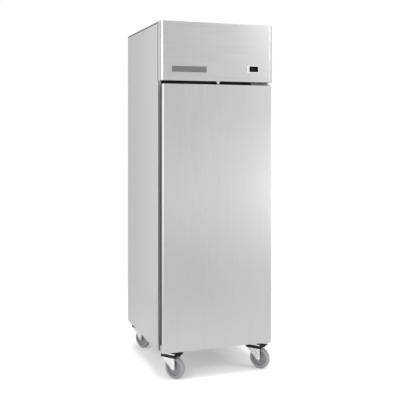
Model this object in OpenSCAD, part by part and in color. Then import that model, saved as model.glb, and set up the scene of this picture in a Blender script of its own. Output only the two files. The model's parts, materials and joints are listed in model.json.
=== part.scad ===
// Upright refrigerator: one full-height door, a unit compartment behind a
// hinged fascia on top, and four swivel castors with brakes.
// Millimetres. The front faces -Y, the floor is Z = 0, and X and Y are centred
// on the outer box.

/* [Overall] */
// Width over the side panels
overall_w = 680; // [660:10:760]
// Depth from the controller's bezel to the side panels' rear flanges
overall_d = 760; // [740:10:860]
// Height from the floor to the top of the side panels
overall_h = 2010; // [1960:10:2120]

/* [Cabinet walls] */
// Thickness of the outer stainless sheets
skin_t = 1; // [0.8:0.1:1.4]
// Thickness of the liner sheets
liner_t = 0.8; // [0.6:0.1:1.2]
// Thickness of a side wall, with foam and both sheets
side_wall_t = 60; // [54:1:66]
// Thickness of the back wall
back_wall_t = 55; // [50:1:62]
// Thickness of the floor
floor_wall_t = 65; // [60:1:72]
// Thickness of the ceiling below the unit compartment
ceiling_wall_t = 70; // [66:1:76]
// Height of the unit compartment
unit_h = 320; // [300:5:330]
// Width of the side panels' folded flanges
flange_w = 18; // [14:1:22]
// Thickness of the plastic frame round the door opening
frame_t = 4; // [3:0.5:6]
// Radius of the liner's two rear corners
cove_r = 16; // [10:1:24]

/* [Door and fascia] */
// Thickness of the door slab
door_t = 50; // [46:1:56]
// Thickness of the magnetic gasket, pressed
gasket_t = 8; // [7:0.5:10]
// Gap between the door's sides and the cabinet's sides
door_side_gap = 9; // [7:0.5:10]
// Height of the door's bottom above the cabinet's underside
door_foot_gap = 6; // [4:0.5:9]
// Height of the gap between the door and the fascia
head_gap = 19; // [17:0.5:24]
// How far the fascia hangs below the unit compartment's deck
fascia_drop = 11; // [8:1:14]
// Thickness of the fascia's sheet
fascia_t = 1.2; // [1:0.1:1.6]
// Radius of the fascia's upright corners
fascia_r = 20; // [12:1:26]
// Gap between the fascia and the side panels
fascia_seam = 5; // [4.5:0.5:7]
// Radius of the rounded nose along the grip
nose_r = 12; // [9:0.5:12]
// Depth of the finger grip in the door's side
grip_depth = 18; // [17:1:19]
// Height of the closed foot below the grip
grip_foot = 39; // [30:1:50]
// Depth of the pressed panel in the door's liner
dish_depth = 12; // [8:1:16]
// Width of the gasket
gasket_w = 24; // [22:1:26]

/* [Door hinges] */
// Distance of the hinge axis from the door's right side
pivot_in = 17; // [15:0.5:18]
// Diameter of the hinge pins
pin_d = 10; // [8:0.5:12]
// Outer diameter of the door's bushes
bush_d = 18; // [17:0.5:20]
// Thickness of the hinge plates
bracket_t = 4; // [3:0.5:5]
// Running clearance between pins and bores
run_fit = 0.05; // [0.03:0.01:0.08]

/* [Controller and badge plate] */
// Width of the controller's bezel
bezel_w = 74; // [70:1:80]
// Height of the controller's bezel
bezel_h = 41; // [38:1:44]
// How far the bezel stands proud of the fascia
bezel_proud = 2.5; // [2:0.5:3.5]
// Middle of the controller, from the middle of the fascia
bezel_x = 213; // [190:1:230]
// Height of the controller's middle above the fascia's bottom
bezel_up = 74; // [60:1:120]
// Width of the blank badge plate
badge_w = 205; // [160:1:220]
// Height of the blank badge plate
badge_h = 33; // [26:1:40]
// Middle of the badge plate, left of the fascia's middle
badge_x = 173; // [160:1:200]
// Height of the badge plate's middle above the fascia's bottom
badge_up = 65; // [50:1:120]

/* [Shelves] */
// Number of wire shelves
shelf_count = 3; // [3:1:3]
// Pitch of the shelf wires
wire_pitch = 25; // [22:1:32]
// Diameter of the shelf wires
wire_d = 4; // [3:0.5:5]
// Number of rods across a shelf, the front and rear ones included
cross_rods = 4; // [3:1:6]
// Diameter of the shelf frame rods
rod_d = 7; // [6:0.5:8]
// Distance of the shelves' front behind the cabinet's front
shelf_front_in = 19.5; // [18:0.5:40]
// Depth of the slotted uprights
upright_t = 8; // [6:1:10]
// Width of the slotted uprights
upright_w = 22; // [18:1:26]
// Pitch of the slots in the uprights
slot_pitch = 50; // [40:5:60]

/* [Refrigeration unit] */
// Width of the evaporator's cover
evap_w = 440; // [400:10:480]
// Height of the evaporator's cover
evap_h = 150; // [145:5:170]
// Depth of the evaporator's cover
evap_d = 260; // [250:5:280]
// Diameter of the evaporator fan
evap_fan_d = 120; // [110:2:124]
// Diameter of the condenser fan
cond_fan_d = 180; // [160:5:186]
// Width of the condenser coil
cond_w = 260; // [240:5:270]
// Height of the condenser coil
cond_h = 220; // [205:5:230]
// Diameter of the compressor's shell
pot_d = 160; // [140:5:170]
// Height of the compressor's shell
pot_h = 165; // [150:5:180]
// Diameter of the copper pipes
pipe_d = 9.5; // [8:0.5:12]

/* [Castors] */
// Height from the floor to the top of a castor's plate
castor_h = 160; // [158:1:166]
// Height of the base frame inside the cabinet's floor
base_h = 24; // [22:1:30]
// Diameter of the wheels
wheel_d = 125; // [118:1:127]
// Width of the wheels
wheel_w = 32; // [28:1:34]
// Distance of the wheel's axle behind the swivel axis
trail = 40; // [38:1:42]
// Distance of the front swivel axes from the cabinet's sides
castor_in_x = 78; // [72:1:84]
// Distance of the rear swivel axes from the cabinet's sides
castor_in_xb = 61; // [61:1:72]
// Distance of the front swivel axes behind the cabinet's front
castor_in_y = 38; // [38:1:60]
// Distance of the rear swivel axes from the cabinet's back
castor_back_in = 51; // [50:1:66]
// Angle that the front wheels trail to, counted from +X
castor_turn = -52; // [-76:2:-40]
// Angle that the rear wheels trail to, counted from +X
castor_turn_b = -66; // [-76:2:-40]
// Width of a castor's plate, across the cabinet
plate_w = 100; // [98:1:102]
// Length of a castor's plate, front to back
plate_l = 76; // [74:1:76]
// Thickness of a castor's plate
plate_t = 3.5; // [3:0.5:4]
// Thickness of a fork's sheet
fork_t = 3; // [2.5:0.5:3.5]

/* [Hidden] */
$fn = 48;
e = 0.5;

// Outer box
w2 = overall_w / 2;
y_front = -overall_d / 2;
y_back = overall_d / 2;

// Front planes, back to front: cabinet, door's rear, faces of door and fascia
face_y = y_front + bezel_proud;
door_rear_y = face_y + door_t;
cab_y = door_rear_y + gasket_t;

// Heights of the cabinet
cab_z0 = castor_h;
deck_z = overall_h - unit_h;
in_x = w2 - side_wall_t;
in_y1 = y_back - back_wall_t;
in_z0 = cab_z0 + floor_wall_t;
in_z1 = deck_z - ceiling_wall_t;

// Fascia
fascia_z0 = deck_z - fascia_drop;
fascia_y1 = cab_y - fascia_seam;
lug_r = 4;
fascia_pin_r = 2;
fascia_axis_z = overall_h - fascia_t - lug_r - 0.3;
ear_t = 3;
ear_x = w2 - flange_w - 12;
tab_w = 21;

// Door
door_hw = w2 - door_side_gap;
door_z0 = cab_z0 + door_foot_gap;
door_z1 = fascia_z0 - head_gap;
door_slab_x0 = -door_hw + grip_depth;
door_corner_r = 5;
door_lip = 12;
pivot_x = door_hw - pivot_in;
pivot_y = door_rear_y - door_t / 2;
bush_len = 20;
pin_r = pin_d / 2;
bush_r = bush_d / 2;
gasket_x0 = door_slab_x0 + 4;
gasket_x1 = -gasket_x0;
gasket_z0 = door_z0 + 14;
gasket_z1 = door_z1 - 14;
plate_gap = 3;

// Shelves and their supports
shelf_side_gap = 3;
runner_t = 1.5;
runner_ledge = 16;
upright_y0 = cab_y + 60;
upright_y1 = in_y1 - 60;
upright_z0 = in_z0 + 25;
evap_z0 = in_z1 - evap_h;
evap_y1 = in_y1 - 25;
evap_y0 = evap_y1 - evap_d;
upright_z1 = evap_z0 - 15;
shelf_hw = in_x - upright_t - runner_t - shelf_side_gap;
shelf_y1 = in_y1 - 35;
shelf_y0 = cab_y + shelf_front_in;
shelf_step = (evap_z0 - in_z0) / (shelf_count + 1);
runner_gap = 0.1;
slide_play = 15;

// Refrigeration unit
duct_y = in_y1 - 60;
duct_r = 16;
cond_x0 = -w2 + 40;
cond_y0 = cab_y + 35;
coil_t = 45;
cond_rows = 5;
evap_coil_gap = 14;
cond_z0 = deck_z + 14;
shroud_t = 45;
fin_t = 0.8;
fin_pitch = 16;
tube_r = 4.5;
motor_r = 30;
strap_t = 2;
pot_x = w2 - 190;
duct_x = pot_x - 8;
pot_y = y_back - 250;
pot_z0 = deck_z + 22;
box_lo = [w2 - 170, cab_y + 30, deck_z];
box_size = [130, 70, 110];

// Castors
castor_x = w2 - castor_in_x;
castor_xb = w2 - castor_in_xb;
castor_yf = cab_y + castor_in_y;
frame_y0 = cab_y + frame_t;
frame_y1 = y_back - 2 * skin_t - 2;
castor_yb = y_back - castor_back_in;
axle_z = wheel_d / 2;
plate_z0 = castor_h - plate_t;
ring_r = 36;
ring_h = 12;
fork_top = plate_z0 - ring_h - 3.5;
leg_in = wheel_w / 2 + 3;
king_r = 6;
boss_r = 12;
leg_u0 = -35;
leg_u1 = 50;
skirt_z = fork_top - 24;
sleeve_r = 6;
bolt_r = 4;
bolt_fit = 0.1;
pedal_u = 14;
pedal_drop = 13;
pedal_z = fork_top - pedal_drop;
shoe_u = leg_u1 + 3;
shoe_z = axle_z + sqrt(axle_z * axle_z - (shoe_u - trail) * (shoe_u - trail)) + 7.4;
rail_w = plate_w + 7 + castor_xb - castor_x;
rail_t = 2.5;
rail_x0 = castor_x - plate_w / 2 - 4;
cross_w = 30;
frame_z0 = cab_z0 + skin_t;
frame_z1 = frame_z0 + base_h;

// Rear sheets and the power inlet
sheet_x = w2 - skin_t;
rear_y0 = y_back - 2 * skin_t;
rear_y1 = y_back - skin_t;
inlet_x = w2 - 110;
inlet_z = deck_z + 60;
inlet_w = 28;
inlet_h = 20;

// Evaporator cover and the two fans
evap_t = 1.2;
evap_fan_z = evap_z0 + evap_h / 2;
evap_hole_r = evap_fan_d / 2 + 6;
evap_fan_y = evap_y0 + 22;
cond_fan_x = cond_x0 + cond_w / 2;
cond_fan_z = cond_z0 + cond_h / 2;
cond_y1 = cond_y0 + coil_t;
shroud_y1 = cond_y1 + shroud_t;
cond_hole_r = cond_fan_d / 2 + 5;
cond_fan_y = shroud_y1 - 20;

// Hinge brackets and their screws
bracket_z = door_z1 + plate_gap;
bracket_x0 = pivot_x - 90;
bracket_x1 = w2 - flange_w + 8;
screw_r = 2.5;
screw_hole_r = 2.6;
top_screws = [bracket_x0 + 14, (bracket_x0 + bracket_x1) / 2, bracket_x1 - 14];
top_screw_z = fascia_z0 + 13;
foot_screws = [pivot_x - 64, pivot_x - 34];
foot_screw_z = cab_z0 + 10;

// Controller, badge plate and keys
controller_hole = [bezel_w - 6, bezel_h - 8];
bezel_z = fascia_z0 + bezel_up;
badge_z = fascia_z0 + badge_up;
window_w = 55;
window_h = 33;
window_in = 4;
window_x1 = bezel_x + bezel_w / 2 - window_in;
window_x0 = window_x1 - window_w;
key_w = 7;
key_h = 8;
key_x = (bezel_x - bezel_w / 2 + window_x0) / 2;
key_gap = 0.3;
key_travel = 0.8;
key_places = [bezel_z + 7, bezel_z - 7];

// Dished panel of the door liner
dish_hw = gasket_x1 - gasket_w - 14;
dish_z0 = gasket_z0 + gasket_w + 14;
dish_z1 = gasket_z1 - gasket_w - 14;

// Castor bolts
bolt_hole_d = 9;
bolt_px = 0.36 * plate_w;
bolt_py = plate_l / 2 - 14;

steel = "silver";
zinc = "gainsboro";
plastic = "dimgray";

// A box from its low corner to its high corner
module block(lo, hi) {
    translate(lo) cube(hi - lo);
}

// A rod along X or Y, as an eight-sided bar with a flat below
module rod_x(x0, x1, y, z, d) {
    translate([x0, y, z]) rotate([0, 90, 0]) rotate(22.5)
        cylinder(d = d / cos(22.5), h = x1 - x0, $fn = 8);
}

module rod_y(y0, y1, x, z, d) {
    translate([x, y1, z]) rotate([90, 0, 0]) rotate(22.5)
        cylinder(d = d / cos(22.5), h = y1 - y0, $fn = 8);
}

// A round bar along Y, from y0 to y1
module drum_y(y0, y1, x, z, r) {
    translate([x, y1, z]) rotate([90, 0, 0]) cylinder(r = r, h = y1 - y0);
}

// A rectangular ring standing in the XZ plane
module ring_y(lo, hi, width, y0, y1) {
    difference() {
        block([lo[0], y0, lo[1]], [hi[0], y1, hi[1]]);
        block([lo[0] + width, y0 - e, lo[1] + width], [hi[0] - width, y1 + e, hi[1] - width]);
    }
}

// Outer sheets of the cabinet

module side_sheet() {
    color(steel) union() {
        block([-w2, cab_y, cab_z0], [-w2 + skin_t, y_back, overall_h]);
        block([-w2, cab_y, cab_z0], [-w2 + flange_w, cab_y + skin_t, overall_h]);
        block([-w2, y_back - skin_t, cab_z0], [-w2 + flange_w, y_back, overall_h]);
        block([-w2, cab_y, cab_z0], [-w2 + flange_w, y_back, cab_z0 + skin_t]);
        block([-w2, cab_y, overall_h - skin_t], [-w2 + flange_w, y_back, overall_h]);
    }
}

module side_panel_left() {
    side_sheet();
}

module side_panel_right() {
    mirror([1, 0, 0]) side_sheet();
}

// The back panel, with two pressed ribs
module back_panel() {
    rib_w = 34;
    color(steel) union() {
        block([-sheet_x, rear_y0, cab_z0 + skin_t], [sheet_x, rear_y1, deck_z]);
        for (x = [-in_x / 2, in_x / 2])
            block([x - rib_w / 2, rear_y0, cab_z0 + 80], [x + rib_w / 2, y_back, deck_z - 80]);
    }
}

// The louvred cover behind the unit
module rear_grille() {
    slot_w = 110;
    slot_h = 7;
    rows = 9;
    row_step = (unit_h - 120) / rows;
    color(steel) difference() {
        block([-sheet_x, rear_y0, deck_z], [sheet_x, rear_y1, overall_h - 2 * skin_t]);
        for (column = [-1.5, -0.5, 0.5], row = [0 : rows - 1])
            translate([column * (slot_w + 24), rear_y0 - e, deck_z + 60 + row * row_step])
                cube([slot_w, skin_t + 2 * e, slot_h]);
        translate([inlet_x - inlet_w / 2, rear_y0 - e, inlet_z - inlet_h / 2])
            cube([inlet_w, skin_t + 2 * e, inlet_h]);
    }
}

// The roof, with vents at its rear and the two lugs that carry the fascia
module roof_panel() {
    z1 = overall_h - skin_t;
    z0 = z1 - skin_t;
    lip_h = 24;
    vent_l = 120;
    vents = 10;
    vent_in = 80;
    vent_step = (overall_w - 2 * vent_in) / vents;
    color(steel) union() {
        difference() {
            block([-sheet_x, cab_y + skin_t, z0], [sheet_x, rear_y0, z1]);
            for (i = [0 : vents - 1])
                translate([-w2 + vent_in + (i + 0.25) * vent_step, rear_y0 - 60 - vent_l, z0 - e])
                    cube([vent_step / 2, vent_l, skin_t + 2 * e]);
        }
        block([-w2 + flange_w, cab_y, z1 - lip_h], [w2 - flange_w, cab_y + skin_t, z1]);
        for (side = [-1, 1]) translate([side * ear_x, fascia_y1, fascia_axis_z]) {
            translate([-ear_t / 2, 0, 0]) rotate([0, 90, 0]) cylinder(r = lug_r, h = ear_t);
            translate([-ear_t / 2, 0, -lug_r]) cube([ear_t, cab_y - fascia_y1 + skin_t, lug_r]);
            rotate([0, side * 90, 0]) translate([0, 0, -ear_t / 2 - 8])
                cylinder(r = fascia_pin_r, h = 8 + ear_t);
        }
    }
}

// The pan under the cabinet, with a lip up its front
module base_pan() {
    color(steel) difference() {
        union() {
            block([-w2 + flange_w, cab_y, cab_z0], [w2 - flange_w, rear_y0, cab_z0 + skin_t]);
            block([-w2 + flange_w, cab_y, cab_z0],
                [w2 - flange_w, cab_y + skin_t, cab_z0 + flange_w]);
        }
        castor_bolt_places() translate([0, 0, cab_z0 - e]) cylinder(d = bolt_hole_d, h = skin_t + 2 * e);
    }
}

// The sheet over the cabinet that carries the unit
module unit_deck() {
    color(steel) difference() {
        block([-sheet_x, cab_y + frame_t, deck_z - skin_t], [sheet_x, rear_y0, deck_z]);
        translate([duct_x, duct_y, deck_z - 5]) cylinder(r = duct_r, h = 10);
    }
}

// The welded frame in the cabinet's floor that the castors are bolted to

module frame_rail() {
    block([rail_x0, frame_y0, frame_z0], [rail_x0 + rail_w, frame_y1, frame_z1]);
}

module frame_cross(y) {
    block([-rail_x0, y, frame_z0], [rail_x0, y + cross_w, frame_z1]);
}

module base_frame() {
    y0 = frame_y0 + rail_t;
    y1 = frame_y1 - rail_t;
    color("gray") difference() {
        union() {
            for (side = [-1, 1]) mirror([side < 0 ? 1 : 0, 0, 0]) difference() {
                frame_rail();
                block([rail_x0 - e, y0, frame_z0 + rail_t],
                    [rail_x0 + rail_w - rail_t, y1, frame_z1 - rail_t]);
            }
            for (y = [frame_y0, frame_y1 - cross_w]) difference() {
                frame_cross(y);
                block([-rail_x0 - e, y + rail_t, frame_z0 + rail_t],
                    [rail_x0 + e, y + cross_w - rail_t, frame_z1 + e]);
            }
        }
        castor_bolt_places() translate([0, 0, frame_z0 - e])
            cylinder(d = bolt_hole_d, h = rail_t + 2 * e);
    }
}

// Insulation and the inside of the cabinet

module chamber_plan(grow) {
    hw = in_x + grow;
    r = cove_r + grow;
    y0 = cab_y + frame_t;
    y1 = in_y1 + grow;
    translate([-hw, y0]) square([2 * hw, y1 - r - y0]);
    translate([-hw + r, y0]) square([2 * (hw - r), y1 - y0]);
    for (side = [-1, 1]) translate([side * (hw - r), y1 - r]) circle(r = r);
}

module cabinet_foam() {
    color("khaki") difference() {
        block([-sheet_x, cab_y + frame_t, cab_z0 + skin_t], [sheet_x, rear_y0, deck_z - skin_t]);
        translate([0, 0, in_z0 - liner_t])
            linear_extrude(in_z1 - in_z0 + 2 * liner_t) chamber_plan(liner_t);
        translate([duct_x, duct_y, in_z1]) cylinder(r = duct_r, h = ceiling_wall_t);
        for (side = [0, 1]) mirror([side, 0, 0]) frame_rail();
        for (y = [frame_y0, frame_y1 - cross_w]) frame_cross(y);
    }
}

// The liner: a wrap with coved corners between a floor and a ceiling
module liner() {
    weld_gap = 0.1;
    color(steel) union() {
        translate([0, 0, in_z0 + weld_gap]) linear_extrude(in_z1 - in_z0 - 2 * weld_gap) difference() {
            chamber_plan(liner_t);
            chamber_plan(0);
        }
        translate([0, 0, in_z0 - liner_t]) linear_extrude(liner_t) chamber_plan(liner_t);
        difference() {
            translate([0, 0, in_z1]) linear_extrude(liner_t) chamber_plan(liner_t);
            translate([duct_x, duct_y, in_z1 - e]) cylinder(r = duct_r, h = liner_t + 2 * e);
        }
    }
}

// The plastic frame that the door's gasket closes on
module breaker_frame() {
    color("black") difference() {
        block([-w2 + flange_w, cab_y, cab_z0 + flange_w], [w2 - flange_w, cab_y + frame_t, deck_z]);
        block([-in_x, cab_y - e, in_z0], [in_x, cab_y + frame_t + e, in_z1]);
    }
}

module shelf_uprights() {
    slot_h = 12;
    slot_d = 4;
    first = upright_z0 + 30;
    color(steel) for (side = [-1, 1], y = [upright_y0, upright_y1]) difference() {
        translate([side > 0 ? in_x - upright_t : -in_x, y - upright_w / 2, upright_z0])
            cube([upright_t, upright_w, upright_z1 - upright_z0]);
        for (z = [first : slot_pitch : upright_z1 - 20])
            translate([side > 0 ? in_x - upright_t - e : -in_x + upright_t - slot_d + e,
                y - slot_d / 2, z]) cube([slot_d, slot_d, slot_h]);
    }
}

function shelf_z(i) = in_z0 + (i + 1) * shelf_step;

// A folded runner for one side of one shelf, with a lip over it and a stop
module runner(z) {
    x0 = -in_x + upright_t;
    ledge_z = z - rod_d / 2 - runner_gap;
    lip_z = z + rod_d / 2 + wire_d + 4;
    y0 = shelf_y0 + 6;
    y1 = shelf_y1 + 1;
    block([x0, y0, ledge_z - runner_t], [x0 + runner_t, y1, lip_z + runner_t]);
    block([x0, y0, ledge_z - runner_t], [x0 + runner_ledge, y1, ledge_z]);
    block([x0, y0, lip_z], [x0 + runner_ledge * 0.6, y1, lip_z + runner_t]);
    block([x0, y1 - e, ledge_z - runner_t], [x0 + runner_ledge, y1 + runner_t, z + 4]);
}

module shelf_runners() {
    color(steel) for (i = [0 : shelf_count - 1], side = [0, 1])
        mirror([side, 0, 0]) union() runner(shelf_z(i));
}

// A shelf: a frame of rods, with wires laid over it front to back
module wire_shelf() {
    wires = floor((2 * shelf_hw - 2 * rod_d) / wire_pitch);
    edge = shelf_hw - rod_d / 2;
    cross_d = rod_d - 1;
    wire_z = cross_d / 2 + wire_d / 2 - 1.5;
    y0 = shelf_y0 + rod_d / 2;
    y1 = shelf_y1 - rod_d / 2;
    color(zinc) union() {
        for (x = [-edge, edge]) rod_y(shelf_y0, shelf_y1, x, 0, rod_d);
        for (k = [0 : cross_rods - 1])
            rod_x(-edge, edge, y0 + k * (y1 - y0) / (cross_rods - 1), 0, cross_d);
        for (n = [0 : wires])
            rod_y(y0 - 0.7, y1 + 0.7, (n - wires / 2) * wire_pitch, wire_z, wire_d);
    }
}

module shelf_low() {
    translate([0, 0, shelf_z(0)]) wire_shelf();
}

module shelf_middle() {
    translate([0, 0, shelf_z(1)]) wire_shelf();
}

module shelf_high() {
    translate([0, 0, shelf_z(2)]) wire_shelf();
}

module interior_light() {
    hw = in_x - 150;
    y = cab_y + 50;
    cover_r = 12;
    end = 10;
    color("white") union() {
        block([-hw, y - cover_r - 4, in_z1 - 4], [hw, y + cover_r + 4, in_z1]);
        difference() {
            translate([-hw + end, y, in_z1 - 4]) rotate([0, 90, 0])
                cylinder(r = cover_r, h = 2 * (hw - end));
            block([-hw, y - cover_r - 8, in_z1 - 4], [hw, y + cover_r + 8, in_z1 + 20]);
        }
    }
}

// The evaporator, its fan and its cover

module evaporator_cover() {
    hw = evap_w / 2;
    lip = 14;
    color(steel) union() {
        difference() {
            block([-hw, evap_y0, evap_z0], [hw, evap_y1, in_z1]);
            block([-hw + evap_t, evap_y0 + evap_t, evap_z0 + evap_t],
                [hw - evap_t, evap_y1 + e, in_z1 + e]);
            drum_y(evap_y0 - e, evap_y0 + 3, 0, evap_fan_z, evap_hole_r);
            for (side = [-1, 1], k = [0 : 4])
                translate([side * hw - 3, evap_y0 + 60 + k * 34, evap_z0 + 40])
                    cube([6, 22, evap_h - 80]);
        }
        for (side = [-1, 1])
            block([side > 0 ? hw - e : -hw - lip, evap_y0, in_z1 - evap_t],
                [side > 0 ? hw + lip : -hw + e, evap_y1, in_z1]);
        block([-hw, evap_y1 - evap_t, evap_z0], [hw, evap_y1, evap_z0 + 22]);
    }
}

// A finned coil: upright fins threaded on rows of tubes, with end plates
function row_z(z0, z1, rows, k) = z0 + (k + 0.5) * (z1 - z0) / rows;

module finned_coil(x0, x1, y0, y1, z0, z1, foot_z, rows) {
    depth = y1 - y0;
    tubes = [for (k = [0 : rows - 1]) row_z(z0, z1, rows, k)];
    pitch_y = depth / 2;
    fins = floor((x1 - x0 - 30) / fin_pitch);
    for (k = [0 : fins])
        translate([x0 + 15 + k * fin_pitch - fin_t / 2, y0, z0]) cube([fin_t, depth, z1 - z0]);
    for (z = tubes, y = [y0 + depth / 4, y1 - depth / 4])
        translate([x0, y, z]) rotate([0, 90, 0]) rotate(30) cylinder(r = tube_r, h = x1 - x0, $fn = 6);
    for (x = [x0, x1 - 2]) block([x, y0, foot_z], [x + 2, y1, z1]);
    // Return bends outside the end plates, but none where the pipes join
    for (k = [0 : rows - 1], x = [x0, x1]) if (x == x0 || (k > 0 && k < rows - 1))
        translate([x, (y0 + y1) / 2, tubes[k]]) rotate([0, 0, x == x0 ? 90 : -90])
            rotate_extrude(angle = 180, $fn = 32) translate([pitch_y / 2, 0])
                circle(r = tube_r - 0.4, $fn = 6);
}

module evaporator_coil() {
    hw = evap_w / 2 - 40;
    color("lightsteelblue") finned_coil(-hw, hw, evap_y1 - 80, evap_y1 - 15, evap_z0 + 18,
        in_z1 - evap_coil_gap, evap_z0 + evap_t, 4);
}

// A fan wheel about the Y axis, facing -Y: a hub and pitched blades
module fan_wheel(d, hub_d, count, depth) {
    r = d / 2;
    hub_r = hub_d / 2;
    pitch = 32;
    root_w = hub_r * 0.95;
    tip_w = r * 0.62;
    rotate([90, 0, 0]) difference() {
        union() {
            translate([0, 0, -depth / 2]) cylinder(r = hub_r, h = depth);
            intersection() {
                cylinder(r = r, h = 3 * depth, center = true);
                for (k = [0 : count - 1]) rotate(k * 360 / count) rotate([pitch, 0, 0])
                    translate([0, 0, -0.9]) linear_extrude(1.8) polygon([
                        [hub_r - 4, -root_w / 2], [r * 0.7, -tip_w / 2], [r + 4, -tip_w / 3],
                        [r + 4, tip_w / 2], [r * 0.6, tip_w / 2], [hub_r - 4, root_w / 2]
                    ]);
            }
        }
        translate([0, 0, -depth]) cylinder(r = 3 + run_fit, h = 2 * depth);
    }
}

module evaporator_fan() {
    color("black") translate([0, evap_fan_y, evap_fan_z]) fan_wheel(evap_fan_d, 38, 5, 20);
}

module condenser_fan() {
    color("black") translate([cond_fan_x, cond_fan_y, cond_fan_z])
        fan_wheel(cond_fan_d, 56, 5, 26);
}

// A fan motor behind its wheel: body, shaft and a strap that carries it
module fan_motor(x, y, z, depth, z0, z1) {
    back = y + depth / 2 + 8;
    drum_y(y - depth / 2 - 3, back + e, x, z, 3);
    drum_y(back, back + 42, x, z, motor_r);
    drum_y(back + 42 - e, back + 48, x, z, motor_r * 0.6);
    block([x - 14, back + 48 - e, z0], [x + 14, back + 48 + strap_t, z1]);
}

module fan_motors() {
    back = cond_fan_y + 13 + 8 + 48;
    color(plastic) {
        union() fan_motor(0, evap_fan_y, evap_fan_z, 20, evap_z0 + evap_t, in_z1);
        union() {
            fan_motor(cond_fan_x, cond_fan_y, cond_fan_z, 26, deck_z, cond_fan_z);
            block([cond_fan_x - 40, back - 30, deck_z], [cond_fan_x + 40, back + strap_t, deck_z + 3]);
        }
    }
}

// A wire guard: rings joined by spokes, flat against the sheet round a hole
module guard(r, y, x, z) {
    d = 2.4;
    translate([x, y, z]) rotate([90, 0, 0]) {
        for (k = [1 : 3]) rotate_extrude($fn = 40) translate([r * k / 3, 0])
            rotate(30) circle(d = d, $fn = 6);
        for (a = [0 : 60 : 300]) rotate(a) translate([r / 3, 0, 0]) rotate([0, 90, 0]) rotate(15)
            cylinder(d = d, h = r * 2 / 3 + 4, $fn = 6);
    }
}

module fan_guards() {
    stand = 1.3;
    color(zinc) {
        union() guard(evap_hole_r, evap_y0 - stand, 0, evap_fan_z);
        union() guard(cond_hole_r, shroud_y1 + stand, cond_fan_x, cond_fan_z);
    }
}

module condenser_coil() {
    color("gray") finned_coil(cond_x0, cond_x0 + cond_w, cond_y0, cond_y1, cond_z0,
        cond_z0 + cond_h, deck_z, cond_rows);
}

module condenser_shroud() {
    x1 = cond_x0 + cond_w;
    z1 = cond_z0 + cond_h;
    color("gray") difference() {
        block([cond_x0, cond_y1, deck_z], [x1, shroud_y1, z1]);
        block([cond_x0 + 1.5, cond_y1 - e, deck_z + 1.5], [x1 - 1.5, shroud_y1 - 1.5, z1 - 1.5]);
        drum_y(shroud_y1 - 5, shroud_y1 + 5, cond_fan_x, cond_fan_z, cond_hole_r);
    }
}

// The compressor on its foot plate
module compressor() {
    r = pot_d / 2;
    dome = 45;
    foot = 96;
    color("black") union() {
        translate([pot_x, pot_y, pot_z0]) {
            rotate_extrude() {
                square([r - dome, pot_h]);
                square([r, pot_h - dome]);
                intersection() {
                    translate([r - dome, pot_h - dome]) circle(r = dome);
                    translate([0, pot_h - dome]) square([r, dome]);
                }
            }
            translate([0, 0, pot_h * 0.42]) cylinder(r = r + 3, h = 5);
            translate([-r - 22, -24, 30]) cube([40, 48, 60]);
        }
        difference() {
            translate([pot_x - foot, pot_y - foot * 0.8, pot_z0 - 3])
                cube([2 * foot, 1.6 * foot, 3 + e]);
            grommet_places() translate([0, 0, pot_z0 - 4]) cylinder(r = 8, h = 6);
        }
    }
}

module grommet_places() {
    for (x = [-80, 80], y = [-62, 62]) translate([pot_x + x, pot_y + y, 0]) children();
}

module compressor_grommets() {
    color("dimgray") grommet_places() {
        translate([0, 0, deck_z]) cylinder(r = 14, h = pot_z0 - 3 - deck_z);
        translate([0, 0, deck_z]) cylinder(r = 8, h = pot_z0 + 3 - deck_z);
    }
}

// A pipe along points joined by square corners, with round bends
function unit(v) = v / norm(v);

module pipe(points, r, bend) {
    last = len(points) - 1;
    for (i = [0 : last - 1]) {
        d = unit(points[i + 1] - points[i]);
        from = points[i] + (i > 0 ? bend : 0) * d;
        to = points[i + 1] - (i + 1 < last ? bend : 0) * d;
        side = abs(d[2]) > 0.5 ? [1, 0, 0] : [0, 0, 1];
        up = cross(d, side);
        multmatrix([
            [side[0], up[0], d[0], from[0]],
            [side[1], up[1], d[1], from[1]],
            [side[2], up[2], d[2], from[2]]
        ]) cylinder(r = r, h = norm(to - from));
    }
    for (i = [1 : last - 1]) {
        a = unit(points[i] - points[i - 1]);
        b = unit(points[i + 1] - points[i]);
        n = cross(-b, a);
        c = points[i] - a * bend + b * bend;
        multmatrix([
            [-b[0], a[0], n[0], c[0]],
            [-b[1], a[1], n[1], c[1]],
            [-b[2], a[2], n[2], c[2]]
        ]) rotate_extrude(angle = 90) translate([bend, 0]) circle(r = r, $fn = 24);
    }
}

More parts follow.
